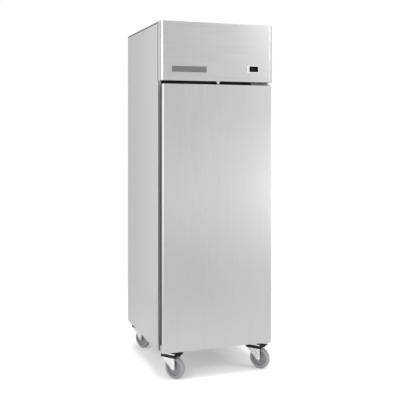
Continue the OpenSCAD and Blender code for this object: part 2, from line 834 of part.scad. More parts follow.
module refrigerant_pipes() {
    r = pipe_d / 2;
    seat = 0.2;
    x1 = cond_x0 + cond_w + seat;
    riser_x = x1 + 40;
    head_z = row_z(cond_z0, cond_z0 + cond_h, cond_rows, cond_rows - 1);
    foot_z = row_z(cond_z0, cond_z0 + cond_h, cond_rows, 0);
    coil_z = in_z1 - evap_coil_gap + seat;
    front_y = pot_y - pot_d / 2 - seat;
    rear_y = pot_y + pot_d / 2 + seat;
    port_z = deck_z + 120;
    drier_y = cond_y1 + 80;
    bend = 14;
    color("peru") {
        // Discharge line, from the compressor's front to the condenser's top row
        union() pipe([
            [pot_x, front_y, port_z], [pot_x, front_y - 50, port_z], [pot_x, front_y - 50, head_z],
            [riser_x, front_y - 50, head_z], [riser_x, cond_y0 + coil_t / 4, head_z],
            [x1, cond_y0 + coil_t / 4, head_z]
        ], r, bend);
        // Liquid line, from the condenser's lowest row through the drier to the duct
        union() {
            pipe([
                [x1, cond_y1 - coil_t / 4, foot_z], [riser_x, cond_y1 - coil_t / 4, foot_z],
                [riser_x, duct_y + 6, foot_z], [duct_x - 8, duct_y + 6, foot_z],
                [duct_x - 8, duct_y + 6, coil_z]
            ], r * 0.8, bend);
            drum_y(drier_y, drier_y + 90, riser_x, foot_z, 15);
        }
        // Suction line, from the duct back to the compressor's rear
        union() pipe([
            [duct_x + 8, duct_y - 2, coil_z], [duct_x + 8, duct_y - 2, deck_z + 60],
            [duct_x + 8, rear_y, deck_z + 60]
        ], r, bend);
    }
}

module electrical_box() {
    hi = box_lo + box_size;
    lid = 4;
    color("lightgray") union() {
        block(box_lo, hi - [0, 0, lid + 1]);
        block(box_lo - [2, 2, 0] + [0, 0, box_size[2] - lid - 1], hi + [2, 2, 0]);
        for (x = [0.25, 0.75])
            translate([box_lo[0] + x * box_size[0], hi[1] - e, box_lo[2] + 30]) rotate([-90, 0, 0])
                cylinder(d = 20, h = 14, $fn = 6);
    }
}

module power_inlet() {
    y0 = rear_y0 - 24;
    color("black") difference() {
        union() {
            block([inlet_x - inlet_w / 2, y0, inlet_z - inlet_h / 2],
                [inlet_x + inlet_w / 2, rear_y1, inlet_z + inlet_h / 2]);
            block([inlet_x - 24, rear_y0 - 3, inlet_z - 15], [inlet_x + 24, rear_y0, inlet_z + 15]);
        }
        difference() {
            block([inlet_x - 11, rear_y1 - 17, inlet_z - 7], [inlet_x + 11, rear_y1 + e, inlet_z + 7]);
            for (x = [-6, 0, 6])
                block([inlet_x + x - 1, rear_y1 - 18, inlet_z - 3],
                    [inlet_x + x + 1, rear_y1 - 3, inlet_z + 3]);
        }
    }
}

// Door hinges

module hinge_bracket_top() {
    flange_top = top_screw_z + 9;
    color(zinc) union() {
        translate([0, 0, bracket_z]) linear_extrude(bracket_t) union() {
            polygon([
                [bracket_x0, cab_y], [bracket_x1, cab_y], [bracket_x1, pivot_y],
                [pivot_x + 13, pivot_y - 13], [pivot_x - 13, pivot_y - 13],
                [pivot_x - 70, cab_y - 26], [bracket_x0, cab_y - 26]
            ]);
        }
        difference() {
            block([bracket_x0, cab_y - bracket_t, bracket_z], [bracket_x1, cab_y, flange_top]);
            for (x = top_screws) drum_y(cab_y - bracket_t - e, cab_y + e, x, top_screw_z, screw_hole_r);
        }
        translate([pivot_x, pivot_y, bracket_z - plate_gap - bush_len + 5])
            cylinder(r = pin_r, h = plate_gap + bush_len - 4);
    }
}

module hinge_bracket_bottom() {
    x0 = pivot_x - 76;
    z0 = cab_z0 - bracket_t;
    color(zinc) union() {
        translate([0, 0, z0]) linear_extrude(bracket_t) polygon([
            [x0, cab_y], [pivot_x + 14, cab_y], [pivot_x + 14, pivot_y - 13],
            [pivot_x - 14, pivot_y - 13], [pivot_x - 40, cab_y - 26], [x0, cab_y - 26]
        ]);
        difference() {
            block([x0, cab_y - bracket_t, z0], [pivot_x - 22, cab_y, cab_z0 + flange_w - 1]);
            for (x = foot_screws) drum_y(cab_y - bracket_t - e, cab_y + e, x, foot_screw_z, screw_hole_r);
        }
        translate([pivot_x, pivot_y, z0]) cylinder(r = bush_r + 2, h = bracket_t + door_foot_gap - 3);
        translate([pivot_x, pivot_y, z0]) cylinder(r = pin_r, h = bracket_t + door_foot_gap + bush_len - 5);
    }
}

// A screw driven along +Y: a domed head and its shank in the flange
module screw_y(x, y, z) {
    drum_y(y, y + bracket_t, x, z, screw_r);
    translate([x, y, z]) rotate([90, 0, 0]) rotate_extrude() intersection() {
        translate([0, -4]) circle(r = 6.2);
        square([5, 3]);
    }
}

module hinge_screws() {
    color(zinc) {
        for (x = top_screws) union() screw_y(x, cab_y - bracket_t, top_screw_z);
        for (x = foot_screws) union() screw_y(x, cab_y - bracket_t, foot_screw_z);
    }
}

// Fascia and what it carries

module fascia_plan(i) {
    hw = w2 - i;
    r = fascia_r - i;
    y0 = face_y + i;
    y1 = fascia_y1 + (i > 0 ? 10 : 0);
    translate([-hw, y0 + r]) square([2 * hw, y1 - y0 - r]);
    translate([-hw + r, y0]) square([2 * (hw - r), y1 - y0]);
    for (side = [-1, 1]) translate([side * (hw - r), y0 + r]) circle(r = r);
}

module fascia_panel() {
    ear = ear_x - ear_t / 2 - 0.3;
    ear_h = lug_r + 0.3 + fascia_t / 2;
    color(steel) difference() {
        union() {
            difference() {
                translate([0, 0, fascia_z0]) linear_extrude(overall_h - fascia_z0) fascia_plan(0);
                translate([0, 0, fascia_z0 + fascia_t])
                    linear_extrude(overall_h - fascia_z0 - 2 * fascia_t) fascia_plan(fascia_t);
            }
            for (side = [-1, 1]) mirror([side < 0 ? 1 : 0, 0, 0])
                translate([ear - ear_t, fascia_y1, fascia_axis_z]) {
                    rotate([0, 90, 0]) cylinder(r = lug_r, h = ear_t);
                    translate([0, -lug_r - 4, -lug_r]) cube([ear_t, lug_r + 4, ear_h + lug_r]);
                }
        }
        for (side = [-1, 1]) translate([side * ear_x, fascia_y1, fascia_axis_z])
            rotate([0, 90, 0]) cylinder(r = fascia_pin_r + run_fit, h = 30, center = true);
        translate([bezel_x - controller_hole[0] / 2, face_y - e, bezel_z - controller_hole[1] / 2])
            cube([controller_hole[0], fascia_t + 2 * e, controller_hole[1]]);
    }
}

// The pull tab under the fascia's middle: a V on a folded strip
module fascia_catch() {
    t = 1.2;
    y0 = face_y + 2;
    drop = head_gap - 2;
    color(zinc) union() {
        block([-tab_w / 2, y0, fascia_z0 - t], [tab_w / 2, y0 + 22, fascia_z0]);
        translate([0, y0 + t, fascia_z0]) rotate([90, 0, 0]) linear_extrude(t)
            polygon([[-tab_w / 2, 0], [-3, -drop], [3, -drop], [tab_w / 2, 0]]);
    }
}

// The blank plate in the badge's place, with bevelled edges
module badge_plate() {
    bevel = 0.5;
    t = 1.5;
    lo = [-badge_x - badge_w / 2, badge_z - badge_h / 2];
    hi = [-badge_x + badge_w / 2, badge_z + badge_h / 2];
    color("gray") union() {
        block([lo[0], face_y - t + bevel, lo[1]], [hi[0], face_y, hi[1]]);
        block([lo[0] + 2, face_y - t, lo[1] + 2], [hi[0] - 2, face_y - t + bevel + 0.2, hi[1] - 2]);
    }
}

module controller_case() {
    case_d = 45;
    lip = 1.2;
    color("whitesmoke") difference() {
        union() {
            block([bezel_x - bezel_w / 2, y_front, bezel_z - bezel_h / 2],
                [bezel_x + bezel_w / 2, face_y, bezel_z + bezel_h / 2]);
            block([bezel_x - controller_hole[0] / 2, face_y - e, bezel_z - controller_hole[1] / 2],
                [bezel_x + controller_hole[0] / 2, face_y + case_d, bezel_z + controller_hole[1] / 2]);
        }
        block([window_x0, y_front - e, bezel_z - window_h / 2],
            [window_x1, y_front + lip, bezel_z + window_h / 2]);
        for (z = key_places)
            block([key_x - key_w / 2 - key_gap, y_front - e, z - key_h / 2 - key_gap],
                [key_x + key_w / 2 + key_gap, y_front + 4, z + key_h / 2 + key_gap]);
    }
}

module controller_window() {
    lip = 1.2;
    color("black") block([window_x0, y_front + 0.2, bezel_z - window_h / 2],
        [window_x1, y_front + lip, bezel_z + window_h / 2]);
}

module key(z) {
    color("silver") union() {
        block([key_x - key_w / 2, y_front + 0.2, z - key_h / 2],
            [key_x + key_w / 2, y_front + 4 - key_travel - 0.2, z + key_h / 2]);
    }
}

module controller_key_up() {
    key(key_places[0]);
}

module controller_key_down() {
    key(key_places[1]);
}

// Door

// The door's outline from above, i inside its outer faces. With grip, the
// finger channel is open behind the nose on the left side.
module door_plan(i, grip) {
    x0 = -door_hw;
    x1 = door_hw;
    y0 = face_y;
    y1 = door_rear_y;
    r = door_corner_r;
    body_x0 = grip ? door_slab_x0 : x0;
    translate([x0 + nose_r, y0 + i]) square([x1 - r - x0 - nose_r, 2 * (nose_r - i)]);
    translate([body_x0 + i, y0 + nose_r]) square([x1 - i - body_x0 - i, y1 - y0 - nose_r - i]);
    translate([0, y0 + r]) square([x1 - i, nose_r]);
    translate([x0 + nose_r, y0 + nose_r]) circle(r = nose_r - i);
    translate([x1 - r, y0 + r]) circle(r = r - i);
}

module door_block(i) {
    translate([0, 0, door_z0 + i]) linear_extrude(door_z1 - door_z0 - 2 * i) door_plan(i, true);
    // The closed foot below the grip
    translate([0, 0, door_z0 + i]) linear_extrude(grip_foot - 2 * i) door_plan(i, false);
}

module door_window() {
    block([door_slab_x0 + door_lip, door_rear_y - skin_t - e, door_z0 + door_lip],
        [door_hw - door_lip, door_rear_y + e, door_z1 - door_lip]);
}

module door_bush_places() {
    translate([pivot_x, pivot_y, door_z0]) children();
    translate([pivot_x, pivot_y, door_z1]) mirror([0, 0, 1]) children();
}

module door_skin() {
    color(steel) difference() {
        door_block(0);
        door_block(skin_t);
        door_window();
        door_bush_places() translate([0, 0, -e]) cylinder(r = bush_r, h = skin_t + 2 * e);
    }
}

module door_dish(grow, y1) {
    block([-dish_hw - grow, door_rear_y - dish_depth - grow, dish_z0 - grow],
        [dish_hw + grow, y1, dish_z1 + grow]);
}

module door_liner() {
    color(steel) difference() {
        union() {
            block([door_slab_x0 + door_lip, door_rear_y - skin_t, door_z0 + door_lip],
                [door_hw - door_lip, door_rear_y, door_z1 - door_lip]);
            door_dish(liner_t, door_rear_y);
        }
        door_dish(0, door_rear_y + e);
    }
}

module door_foam() {
    color("khaki") difference() {
        door_block(skin_t);
        door_dish(liner_t, door_rear_y);
        door_bush_places() cylinder(r = bush_r, h = bush_len);
    }
}

module door_gasket() {
    lo = [gasket_x0, gasket_z0];
    hi = [gasket_x1, gasket_z1];
    y0 = door_rear_y;
    y1 = cab_y - 0.1;
    neck = 4;
    color("dimgray") union() {
        ring_y(lo, hi, gasket_w, y0, y0 + 2);
        ring_y(lo + [neck, neck], hi - [neck, neck], gasket_w - 2 * neck, y0 + 1, y1 - 1.5);
        ring_y(lo, hi, gasket_w, y1 - 2.5, y1);
    }
}

module door_bushes() {
    collar = door_foot_gap - 3 - 0.1 > 2 ? 2 : 1;
    color("white") door_bush_places() difference() {
        union() {
            cylinder(r = bush_r, h = bush_len);
            translate([0, 0, -collar]) cylinder(r = bush_r + 1.5, h = collar);
        }
        translate([0, 0, -collar - e]) cylinder(r = pin_r + run_fit, h = bush_len + collar - 3 + e);
    }
}

// Castors

module castor_places() {
    for (side = [-1, 1]) {
        translate([side * castor_x, castor_yf, 0]) children();
        translate([side * castor_xb, castor_yb, 0]) children();
    }
}

module castor_bolt_places() {
    castor_places() for (x = [-bolt_px, bolt_px], y = [-bolt_py, bolt_py])
        translate([x, y, 0]) children();
}

// The castors' top plates, each with its riveted kingpin
module castor_plates() {
    r = 8;
    color(zinc) difference() {
        castor_places() union() {
            translate([0, 0, plate_z0]) linear_extrude(plate_t) {
                square([plate_w - 2 * r, plate_l], center = true);
                square([plate_w, plate_l - 2 * r], center = true);
                for (x = [-1, 1], y = [-1, 1])
                    translate([x * (plate_w / 2 - r), y * (plate_l / 2 - r)]) circle(r = r);
            }
            translate([0, 0, fork_top - fork_t - 2]) cylinder(r = king_r, h = castor_h - fork_top + fork_t);
            translate([0, 0, fork_top - fork_t - 4]) cylinder(r = king_r + 4, h = 3.9);
        }
        castor_bolt_places() translate([0, 0, plate_z0 - e]) cylinder(d = bolt_hole_d, h = plate_t + 2 * e);
    }
}

module castor_bolts() {
    head = 5;
    color(zinc) castor_bolt_places() union() {
        translate([0, 0, plate_z0 - head]) cylinder(d = 13, h = head, $fn = 6);
        translate([0, 0, plate_z0 - e]) cylinder(d = 8, h = plate_t + skin_t + rail_t + e);
        translate([0, 0, frame_z0 + rail_t]) cylinder(d = 13, h = 6, $fn = 6);
    }
}

// The dust ring that hides each castor's ball race
module castor_dust_rings() {
    color("black") castor_places() translate([0, 0, plate_z0 - ring_h]) difference() {
        union() {
            cylinder(r = ring_r, h = ring_h * 0.5);
            translate([0, 0, ring_h * 0.5]) cylinder(r1 = ring_r, r2 = ring_r - 4, h = ring_h * 0.5);
        }
        translate([0, 0, -e]) cylinder(r = king_r + 0.2, h = ring_h + 2 * e);
    }
}

// Where the line from p touches the circle of radius r round c
function tangent(p, c, r, side) =
    let (d = c - p, l = norm(d), a = acos(r / l), b = atan2(-d[1], -d[0]))
    c + r * [cos(b + side * a), sin(b + side * a)];

// A fork in its own frame: the swivel axis is Z, and it trails along +X
module fork() {
    c = [trail, axle_z];
    left = tangent([leg_u0, skirt_z], c, boss_r, 1);
    right = tangent([leg_u1, skirt_z], c, boss_r, -1);
    outer = leg_in + fork_t;
    difference() {
        union() {
            // The crown, with the lower race on it
            translate([leg_u0, -outer, fork_top - fork_t]) cube([leg_u1 - leg_u0, 2 * outer, fork_t]);
            translate([0, 0, fork_top - e]) cylinder(r = ring_r - 5, h = 3 + e);
            // The two legs
            for (side = [-1, 1]) translate([0, side > 0 ? outer : -leg_in, 0]) rotate([90, 0, 0])
                linear_extrude(fork_t) union() {
                    polygon([[leg_u0, fork_top], [leg_u0, skirt_z], left, c, right,
                        [leg_u1, skirt_z], [leg_u1, fork_top]]);
                    translate(c) circle(r = boss_r);
                }
        }
        translate([0, 0, fork_top - 10]) cylinder(r = king_r + run_fit, h = 20);
        translate([trail, 30, axle_z]) rotate([90, 0, 0]) cylinder(r = bolt_r + bolt_fit, h = 60);
        translate([pedal_u, 30, pedal_z]) rotate([90, 0, 0]) cylinder(r = 3 + run_fit, h = 60);
    }
}

// The axle: a sleeve between the legs, a bolt through it, head and nut
module axle() {
    outer = leg_in + fork_t;
    translate([trail, 0, axle_z]) rotate([90, 0, 0]) {
        cylinder(r = sleeve_r, h = 2 * (leg_in - bolt_fit), center = true);
        cylinder(r = bolt_r, h = 2 * outer + 8, center = true);
        for (side = [0, 1]) mirror([0, 0, side]) translate([0, 0, outer + bolt_fit])
            cylinder(r = 7.5, h = 5, $fn = 6);
    }
}

module castor_frame(x, y) {
    translate([x, y, 0]) rotate(y < 0 ? castor_turn : castor_turn_b) children();
}

module fork_set(x, y) {
    color(zinc) castor_frame(x, y) {
        fork();
        union() axle();
    }
}

// A wheel: a moulded core and a tyre with a rounded tread
module wheel() {
    r = wheel_d / 2;
    hw = wheel_w / 2;
    tread = 10;
    rim_r = r - 14;
    hub_r = 14;
    web = 5;
    translate([trail, 0, axle_z]) rotate([90, 0, 0]) {
        rotate_extrude() difference() {
            union() {
                translate([0, -hw - 2.7]) square([hub_r, wheel_w + 5.4]);
                translate([0, -web]) square([rim_r, 2 * web]);
                translate([rim_r - 5, -hw + 3]) square([5 - bolt_fit, wheel_w - 6]);
            }
            translate([0, -wheel_w]) square([sleeve_r + run_fit, 2 * wheel_w]);
        }
        rotate_extrude() {
            translate([rim_r, -hw + 1]) square([r - rim_r - tread, wheel_w - 2]);
            translate([rim_r + 1, -hw + tread]) square([r - rim_r - 1, wheel_w - 2 * tread]);
            for (side = [-1, 1]) intersection() {
                translate([r - tread, side * (hw - tread)]) circle(r = tread);
                translate([rim_r, -hw + 1]) square([r - rim_r, wheel_w - 2]);
            }
        }
    }
}

module wheel_set(x, y) {
    color("slategray") castor_frame(x, y) wheel();
}

// A brake pedal: a plate over the wheel on two arms that run along the fork's
// legs, joined behind the fork, with pins into the legs and a shoe over the tyre
module pedal() {
    ear_in = leg_in + fork_t + 0.3;
    ear_out = ear_in + 2.5;
    top = fork_top + 6;
    tail = leg_u1 + 34;
    arm_u0 = leg_u0 - 5.5;
    arm_z0 = skirt_z + 1;
    arm_z1 = fork_top - 7;
    union() {
        block([shoe_u, -ear_out, top - 4], [tail - 10, ear_out, top]);
        block([shoe_u, -ear_out + 10, top - 4], [tail, ear_out - 10, top]);
        for (side = [-1, 1]) translate([tail - 10, side * (ear_out - 10), top - 4]) cylinder(r = 10, h = 4);
        block([leg_u1 + 6, -12, top - 9], [tail - 2, 12, top - 3]);
        block([shoe_u, -12, shoe_z], [shoe_u + 8, 12, top - 3]);
        block([arm_u0, -ear_out, arm_z0], [arm_u0 + 2.5, ear_out, arm_z1]);
        for (side = [-1, 1]) mirror([0, side < 0 ? 1 : 0, 0]) {
            block([arm_u0, ear_in, arm_z0], [leg_u1 + 11, ear_out, arm_z1]);
            block([shoe_u, ear_in, arm_z0], [leg_u1 + 11, ear_out, top - 3]);
            translate([pedal_u, ear_out, pedal_z]) rotate([90, 0, 0])
                cylinder(r = 3, h = ear_out - leg_in + 1);
        }
    }
}

module pedal_set(x, y) {
    color("black") castor_frame(x, y) pedal();
}

module castor_fork_fl() {
    fork_set(-castor_x, castor_yf);
}

module castor_fork_fr() {
    fork_set(castor_x, castor_yf);
}

module castor_fork_rl() {
    fork_set(-castor_xb, castor_yb);
}

module castor_fork_rr() {
    fork_set(castor_xb, castor_yb);
}

module castor_wheel_fl() {
    wheel_set(-castor_x, castor_yf);
}

module castor_wheel_fr() {
    wheel_set(castor_x, castor_yf);
}

module castor_wheel_rl() {
    wheel_set(-castor_xb, castor_yb);
}

module castor_wheel_rr() {
    wheel_set(castor_xb, castor_yb);
}

module brake_pedal_fl() {
    pedal_set(-castor_x, castor_yf);
}

module brake_pedal_fr() {
    pedal_set(castor_x, castor_yf);
}

module brake_pedal_rl() {
    pedal_set(-castor_xb, castor_yb);
}

module brake_pedal_rr() {
    pedal_set(castor_xb, castor_yb);
}

side_panel_left();
side_panel_right();
back_panel();
rear_grille();
roof_panel();
base_pan();
base_frame();
unit_deck();
cabinet_foam();
liner();
breaker_frame();
shelf_uprights();
shelf_runners();
evaporator_cover();
evaporator_coil();
fan_motors();
fan_guards();
interior_light();
compressor();
compressor_grommets();
condenser_coil();
condenser_shroud();
refrigerant_pipes();
electrical_box();
power_inlet();
hinge_bracket_top();
hinge_bracket_bottom();
hinge_screws();
castor_plates();
castor_bolts();
castor_dust_rings();
fascia_panel();
fascia_catch();
badge_plate();
controller_case();
controller_window();
controller_key_up();
controller_key_down();
door_skin();
door_liner();
door_foam();
door_gasket();
door_bushes();
shelf_low();
shelf_middle();
shelf_high();
evaporator_fan();
condenser_fan();
castor_fork_fl();
castor_fork_fr();
castor_fork_rl();
castor_fork_rr();
castor_wheel_fl();
castor_wheel_fr();
castor_wheel_rl();
castor_wheel_rr();
brake_pedal_fl();
brake_pedal_fr();
brake_pedal_rl();
brake_pedal_rr();
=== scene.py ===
# %% [markdown]
# # An upright kitchen refrigerator
# The cabinet, its door, shelves, cooling unit and castors come from a CAD model. This
# lesson gives them their looks: brushed stainless, zinc plate, grey rubber and black
# plastic, and the small pressed and moulded details that a CAD model leaves out.

# %% Load the model
import json
import math

import bmesh
import bpy
from mathutils import Matrix, Vector


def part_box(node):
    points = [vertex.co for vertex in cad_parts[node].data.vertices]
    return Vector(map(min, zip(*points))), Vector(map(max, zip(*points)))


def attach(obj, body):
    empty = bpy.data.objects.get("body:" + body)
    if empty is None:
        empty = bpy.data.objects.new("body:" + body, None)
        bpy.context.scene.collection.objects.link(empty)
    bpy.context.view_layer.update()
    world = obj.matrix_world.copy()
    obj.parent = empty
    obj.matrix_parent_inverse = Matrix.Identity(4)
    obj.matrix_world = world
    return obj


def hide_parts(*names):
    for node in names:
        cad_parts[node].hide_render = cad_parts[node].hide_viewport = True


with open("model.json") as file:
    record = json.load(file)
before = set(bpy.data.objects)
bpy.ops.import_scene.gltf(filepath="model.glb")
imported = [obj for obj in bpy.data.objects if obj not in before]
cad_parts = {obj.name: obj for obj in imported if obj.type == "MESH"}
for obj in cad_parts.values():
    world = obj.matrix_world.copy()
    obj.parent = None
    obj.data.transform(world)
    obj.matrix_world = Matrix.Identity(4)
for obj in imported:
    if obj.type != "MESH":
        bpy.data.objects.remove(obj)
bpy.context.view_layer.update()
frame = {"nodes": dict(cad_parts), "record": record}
nodes = frame["nodes"]

# %% [markdown]
# ## Names for the places we need
# A piece that sits on the cabinet takes its place from the CAD piece that carries it. The
# fascia and the left side panel are needed more than once: the panel's box gives the
# cabinet's front, rear, flank and top.


# %% Places
def box_of(name):
    """The lowest and the highest corner of a CAD piece."""
    low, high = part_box(name)
    return low, high


def centre_of(name):
    low, high = box_of(name)
    return (low + high) / 2


fascia_low, fascia_high = box_of("fascia_panel")
cabinet_low, cabinet_high = box_of("side_panel_left")
print("fascia", [round(v, 3) for v in fascia_low], [round(v, 3) for v in fascia_high])
print("side", [round(v, 3) for v in cabinet_low], [round(v, 3) for v in cabinet_high])

# %% [markdown]
# ## The camera
# The photograph looks at the cabinet's front and left side from a standing height. The
# camera stays level, so that the cabinet's upright edges stay upright in the picture, and
# its sensor is shifted down to take in the castors, as an architect's camera does.

# %% Camera
camera_data = bpy.data.cameras.new("camera")
camera_data.sensor_width = 36.0
camera_data.lens = 63.67
camera_data.shift_x = 0.0087
camera_data.shift_y = -0.1837
camera_data.clip_end = 60.0
camera = bpy.data.objects.new("camera", camera_data)
camera.location = (-1.445, -4.125, 1.4225)
camera.rotation_euler = (math.radians(90.0), 0.0, math.radians(-19.32))
bpy.context.scene.collection.objects.link(camera)
bpy.context.scene.camera = camera

# %% [markdown]
# ## The room and the lamps
# Brushed metal looks the way its surroundings look. A pale room with a few large soft
# lamps gives the long, quiet gradients of a catalogue picture. The world is kept below
# full white for the lighting, and the camera and the reflections see it as white paper.


# %% World
def link(tree, a, b):
    tree.links.new(a, b)


def seen_directly(tree):
    """One where the camera, a reflection or a clear pane looks at something."""
    path = tree.nodes.new("ShaderNodeLightPath")
    value = path.outputs["Is Camera Ray"]
    for kind in ("Is Glossy Ray", "Is Transmission Ray"):
        larger = tree.nodes.new("ShaderNodeMath")
        larger.operation = "MAXIMUM"
        link(tree, value, larger.inputs[0])
        link(tree, path.outputs[kind], larger.inputs[1])
        value = larger.outputs[0]
    return value


world = bpy.data.worlds.new("room")
bpy.context.scene.world = world
world.use_nodes = True
tree = world.node_tree
tree.nodes.clear()
world_out = tree.nodes.new("ShaderNodeOutputWorld")
seen = tree.nodes.new("ShaderNodeBackground")
seen.inputs["Color"].default_value = (1.0, 1.0, 1.0, 1.0)
lit = tree.nodes.new("ShaderNodeBackground")
lit.inputs["Color"].default_value = (1.0, 1.0, 1.0, 1.0)
lit.inputs["Strength"].default_value = 0.74
either = tree.nodes.new("ShaderNodeMixShader")
link(tree, seen_directly(tree), either.inputs["Fac"])
link(tree, lit.outputs[0], either.inputs[1])
link(tree, seen.outputs[0], either.inputs[2])
link(tree, either.outputs[0], world_out.inputs["Surface"])
print("world", len(tree.nodes), "nodes")


# %% Lamps
def soft_lamp(name, place, aim, width, height, power):
    """A large lamp that aims at a point. The camera sees its light, and not the lamp."""
    data = bpy.data.lights.new(name, "AREA")
    data.shape = "RECTANGLE"
    data.size = width
    data.size_y = height
    data.energy = power
    lamp = bpy.data.objects.new(name, data)
    lamp.location = place
    lamp.visible_camera = False
    direction = Vector(aim) - Vector(place)
    lamp.rotation_euler = direction.to_track_quat("-Z", "Y").to_euler()
    bpy.context.scene.collection.objects.link(lamp)
    print(name, power, "W")


soft_lamp("lamp_right", (3.4, -3.4, 1.6), (0.0, 0.0, 1.1), 1.6, 2.6, 6.0)
soft_lamp("lamp_right_high", (3.0, -3.4, 3.2), (0.0, 0.0, 1.2), 1.6, 1.6, 54.0)
soft_lamp("lamp_right_low", (3.0, -3.4, 0.7), (0.0, 0.0, 0.7), 1.4, 1.0, 32.0)
soft_lamp("lamp_front", (1.2, -4.8, 0.6), (0.0, 0.0, 0.9), 1.6, 0.9, 4.0)
soft_lamp("lamp_left", (-3.3, -1.2, 1.5), (0.0, 0.0, 1.0), 2.4, 3.0, 33.0)
soft_lamp("lamp_left_front", (-2.6, -3.0, 1.5), (-0.33, -0.38, 1.0), 2.0, 3.0, 49.0)
soft_lamp("lamp_behind", (-1.0, 0.9, 1.25), (-0.34, -0.1, 1.15), 0.3, 2.2, 2.6)
soft_lamp("lamp_top", (0.0, -0.6, 4.6), (0.0, 0.0, 0.0), 3.2, 3.2, 130.0)

# %% [markdown]
# ## The floor
# The floor is white paper with a trace of light of its own for the camera, so that it
# fades into the background while the cabinet's soft shadow stays on it.


# %% Floor
def shader_of(look):
    return look.node_tree.nodes["Principled BSDF"]


bpy.ops.mesh.primitive_circle_add(vertices=96, radius=3.2, fill_type="NGON",
                                  location=(0.0, 0.0, -0.0005))
floor = bpy.context.object
floor.name = "floor"
floor_look = bpy.data.materials.new("white_paper")
floor_look.use_nodes = True
tree = floor_look.node_tree
shader = shader_of(floor_look)
shader.inputs["Base Color"].default_value = (0.92, 0.92, 0.92, 1.0)
shader.inputs["Roughness"].default_value = 0.9
shader.inputs["Specular IOR Level"].default_value = 0.0
glow = tree.nodes.new("ShaderNodeEmission")
glow.inputs["Strength"].default_value = 0.09
both = tree.nodes.new("ShaderNodeAddShader")
lit_or_seen = tree.nodes.new("ShaderNodeMixShader")
link(tree, shader.outputs[0], both.inputs[0])
link(tree, glow.outputs[0], both.inputs[1])
link(tree, seen_directly(tree), lit_or_seen.inputs["Fac"])
link(tree, shader.outputs[0], lit_or_seen.inputs[1])
link(tree, both.outputs[0], lit_or_seen.inputs[2])

# %% The floor's edge fades out
clear = tree.nodes.new("ShaderNodeBsdfTransparent")
fade = tree.nodes.new("ShaderNodeMixShader")
coords = tree.nodes.new("ShaderNodeTexCoord")
away = tree.nodes.new("ShaderNodeVectorMath")
away.operation = "LENGTH"
edge = tree.nodes.new("ShaderNodeMapRange")
edge.interpolation_type = "SMOOTHSTEP"
edge.inputs["From Min"].default_value = 0.8
edge.inputs["From Max"].default_value = 2.6
link(tree, coords.outputs["Object"], away.inputs[0])
link(tree, away.outputs["Value"], edge.inputs["Value"])
link(tree, edge.outputs["Result"], fade.inputs["Fac"])
link(tree, lit_or_seen.outputs[0], fade.inputs[1])
link(tree, clear.outputs[0], fade.inputs[2])
link(tree, fade.outputs[0], tree.nodes["Material Output"].inputs["Surface"])
floor.data.materials.append(floor_look)

# %% [markdown]
# ## Materials
# Each finish is a small recipe of nodes. Most of them share the same three steps: a
# pattern in the object's own coordinates, a slight change of colour and gloss with it,
# and a very shallow bump. The first helper makes a plain shader, and the others add
# a pattern to it.


# %% A plain finish
def plain(name, colour, metal=0.0, rough=0.5, specular=0.5):
    look = bpy.data.materials.new(name)
    look.use_nodes = True
    shader = shader_of(look)
    shader.inputs["Base Color"].default_value = (*colour, 1.0)
    shader.inputs["Metallic"].default_value = metal
    shader.inputs["Roughness"].default_value = rough
    shader.inputs["Specular IOR Level"].default_value = specular
    return look


# %% Pattern, range, tint and bump
def pattern(look, stretch, detail=2.0):
    """A noise in the object's own coordinates, stretched along its grain."""
    tree = look.node_tree
    place = tree.nodes.new("ShaderNodeTexCoord")
    turn = tree.nodes.new("ShaderNodeMapping")
    turn.inputs["Scale"].default_value = stretch
    noise = tree.nodes.new("ShaderNodeTexNoise")
    noise.inputs["Scale"].default_value = 1.0
    noise.inputs["Detail"].default_value = detail
    link(tree, place.outputs["Object"], turn.inputs["Vector"])
    link(tree, turn.outputs["Vector"], noise.inputs["Vector"])
    return noise.outputs["Fac"]


def spread(look, value, low, high):
    """Turns a pattern's values, which mostly lie in 0.3 to 0.7, into low to high."""
    tree = look.node_tree
    step = tree.nodes.new("ShaderNodeMapRange")
    step.inputs["From Min"].default_value = 0.3
    step.inputs["From Max"].default_value = 0.7
    step.inputs["To Min"].default_value = low
    step.inputs["To Max"].default_value = high
    link(tree, value, step.inputs["Value"])
    return step.outputs["Result"]


def tint(look, value, dark, light):
    """Lets the pattern move the colour between two near ones."""
    tree = look.node_tree
    mix = tree.nodes.new("ShaderNodeMix")
    mix.data_type = "RGBA"
    mix.inputs["A"].default_value = (*dark, 1.0)
    mix.inputs["B"].default_value = (*light, 1.0)
    link(tree, value, mix.inputs["Factor"])
    link(tree, mix.outputs["Result"], shader_of(look).inputs["Base Color"])


def rough_with(look, value):
    link(look.node_tree, value, shader_of(look).inputs["Roughness"])


def bump_with(look, value, height, edge=0.0):
    """Shallow relief from a pattern, over edges that are softened by the width edge."""
    tree = look.node_tree
    bump = tree.nodes.new("ShaderNodeBump")
    if edge:
        soft = tree.nodes.new("ShaderNodeBevel")
        soft.samples = 6
        soft.inputs["Radius"].default_value = edge
        link(tree, soft.outputs["Normal"], bump.inputs["Normal"])
    bump.inputs["Strength"].default_value = 0.4
    bump.inputs["Distance"].default_value = height
    link(tree, value, bump.inputs["Height"])
    link(tree, bump.outputs["Normal"], shader_of(look).inputs["Normal"])


# %% [markdown]
# ### Brushed stainless
# Stainless sheet is sold with a fine grain that runs along the roll. The grain scatters
# light across its direction, and broad, barely visible clouds of it come from the
# rolling. Both are noise, stretched a great deal for the grain and hardly for the clouds.


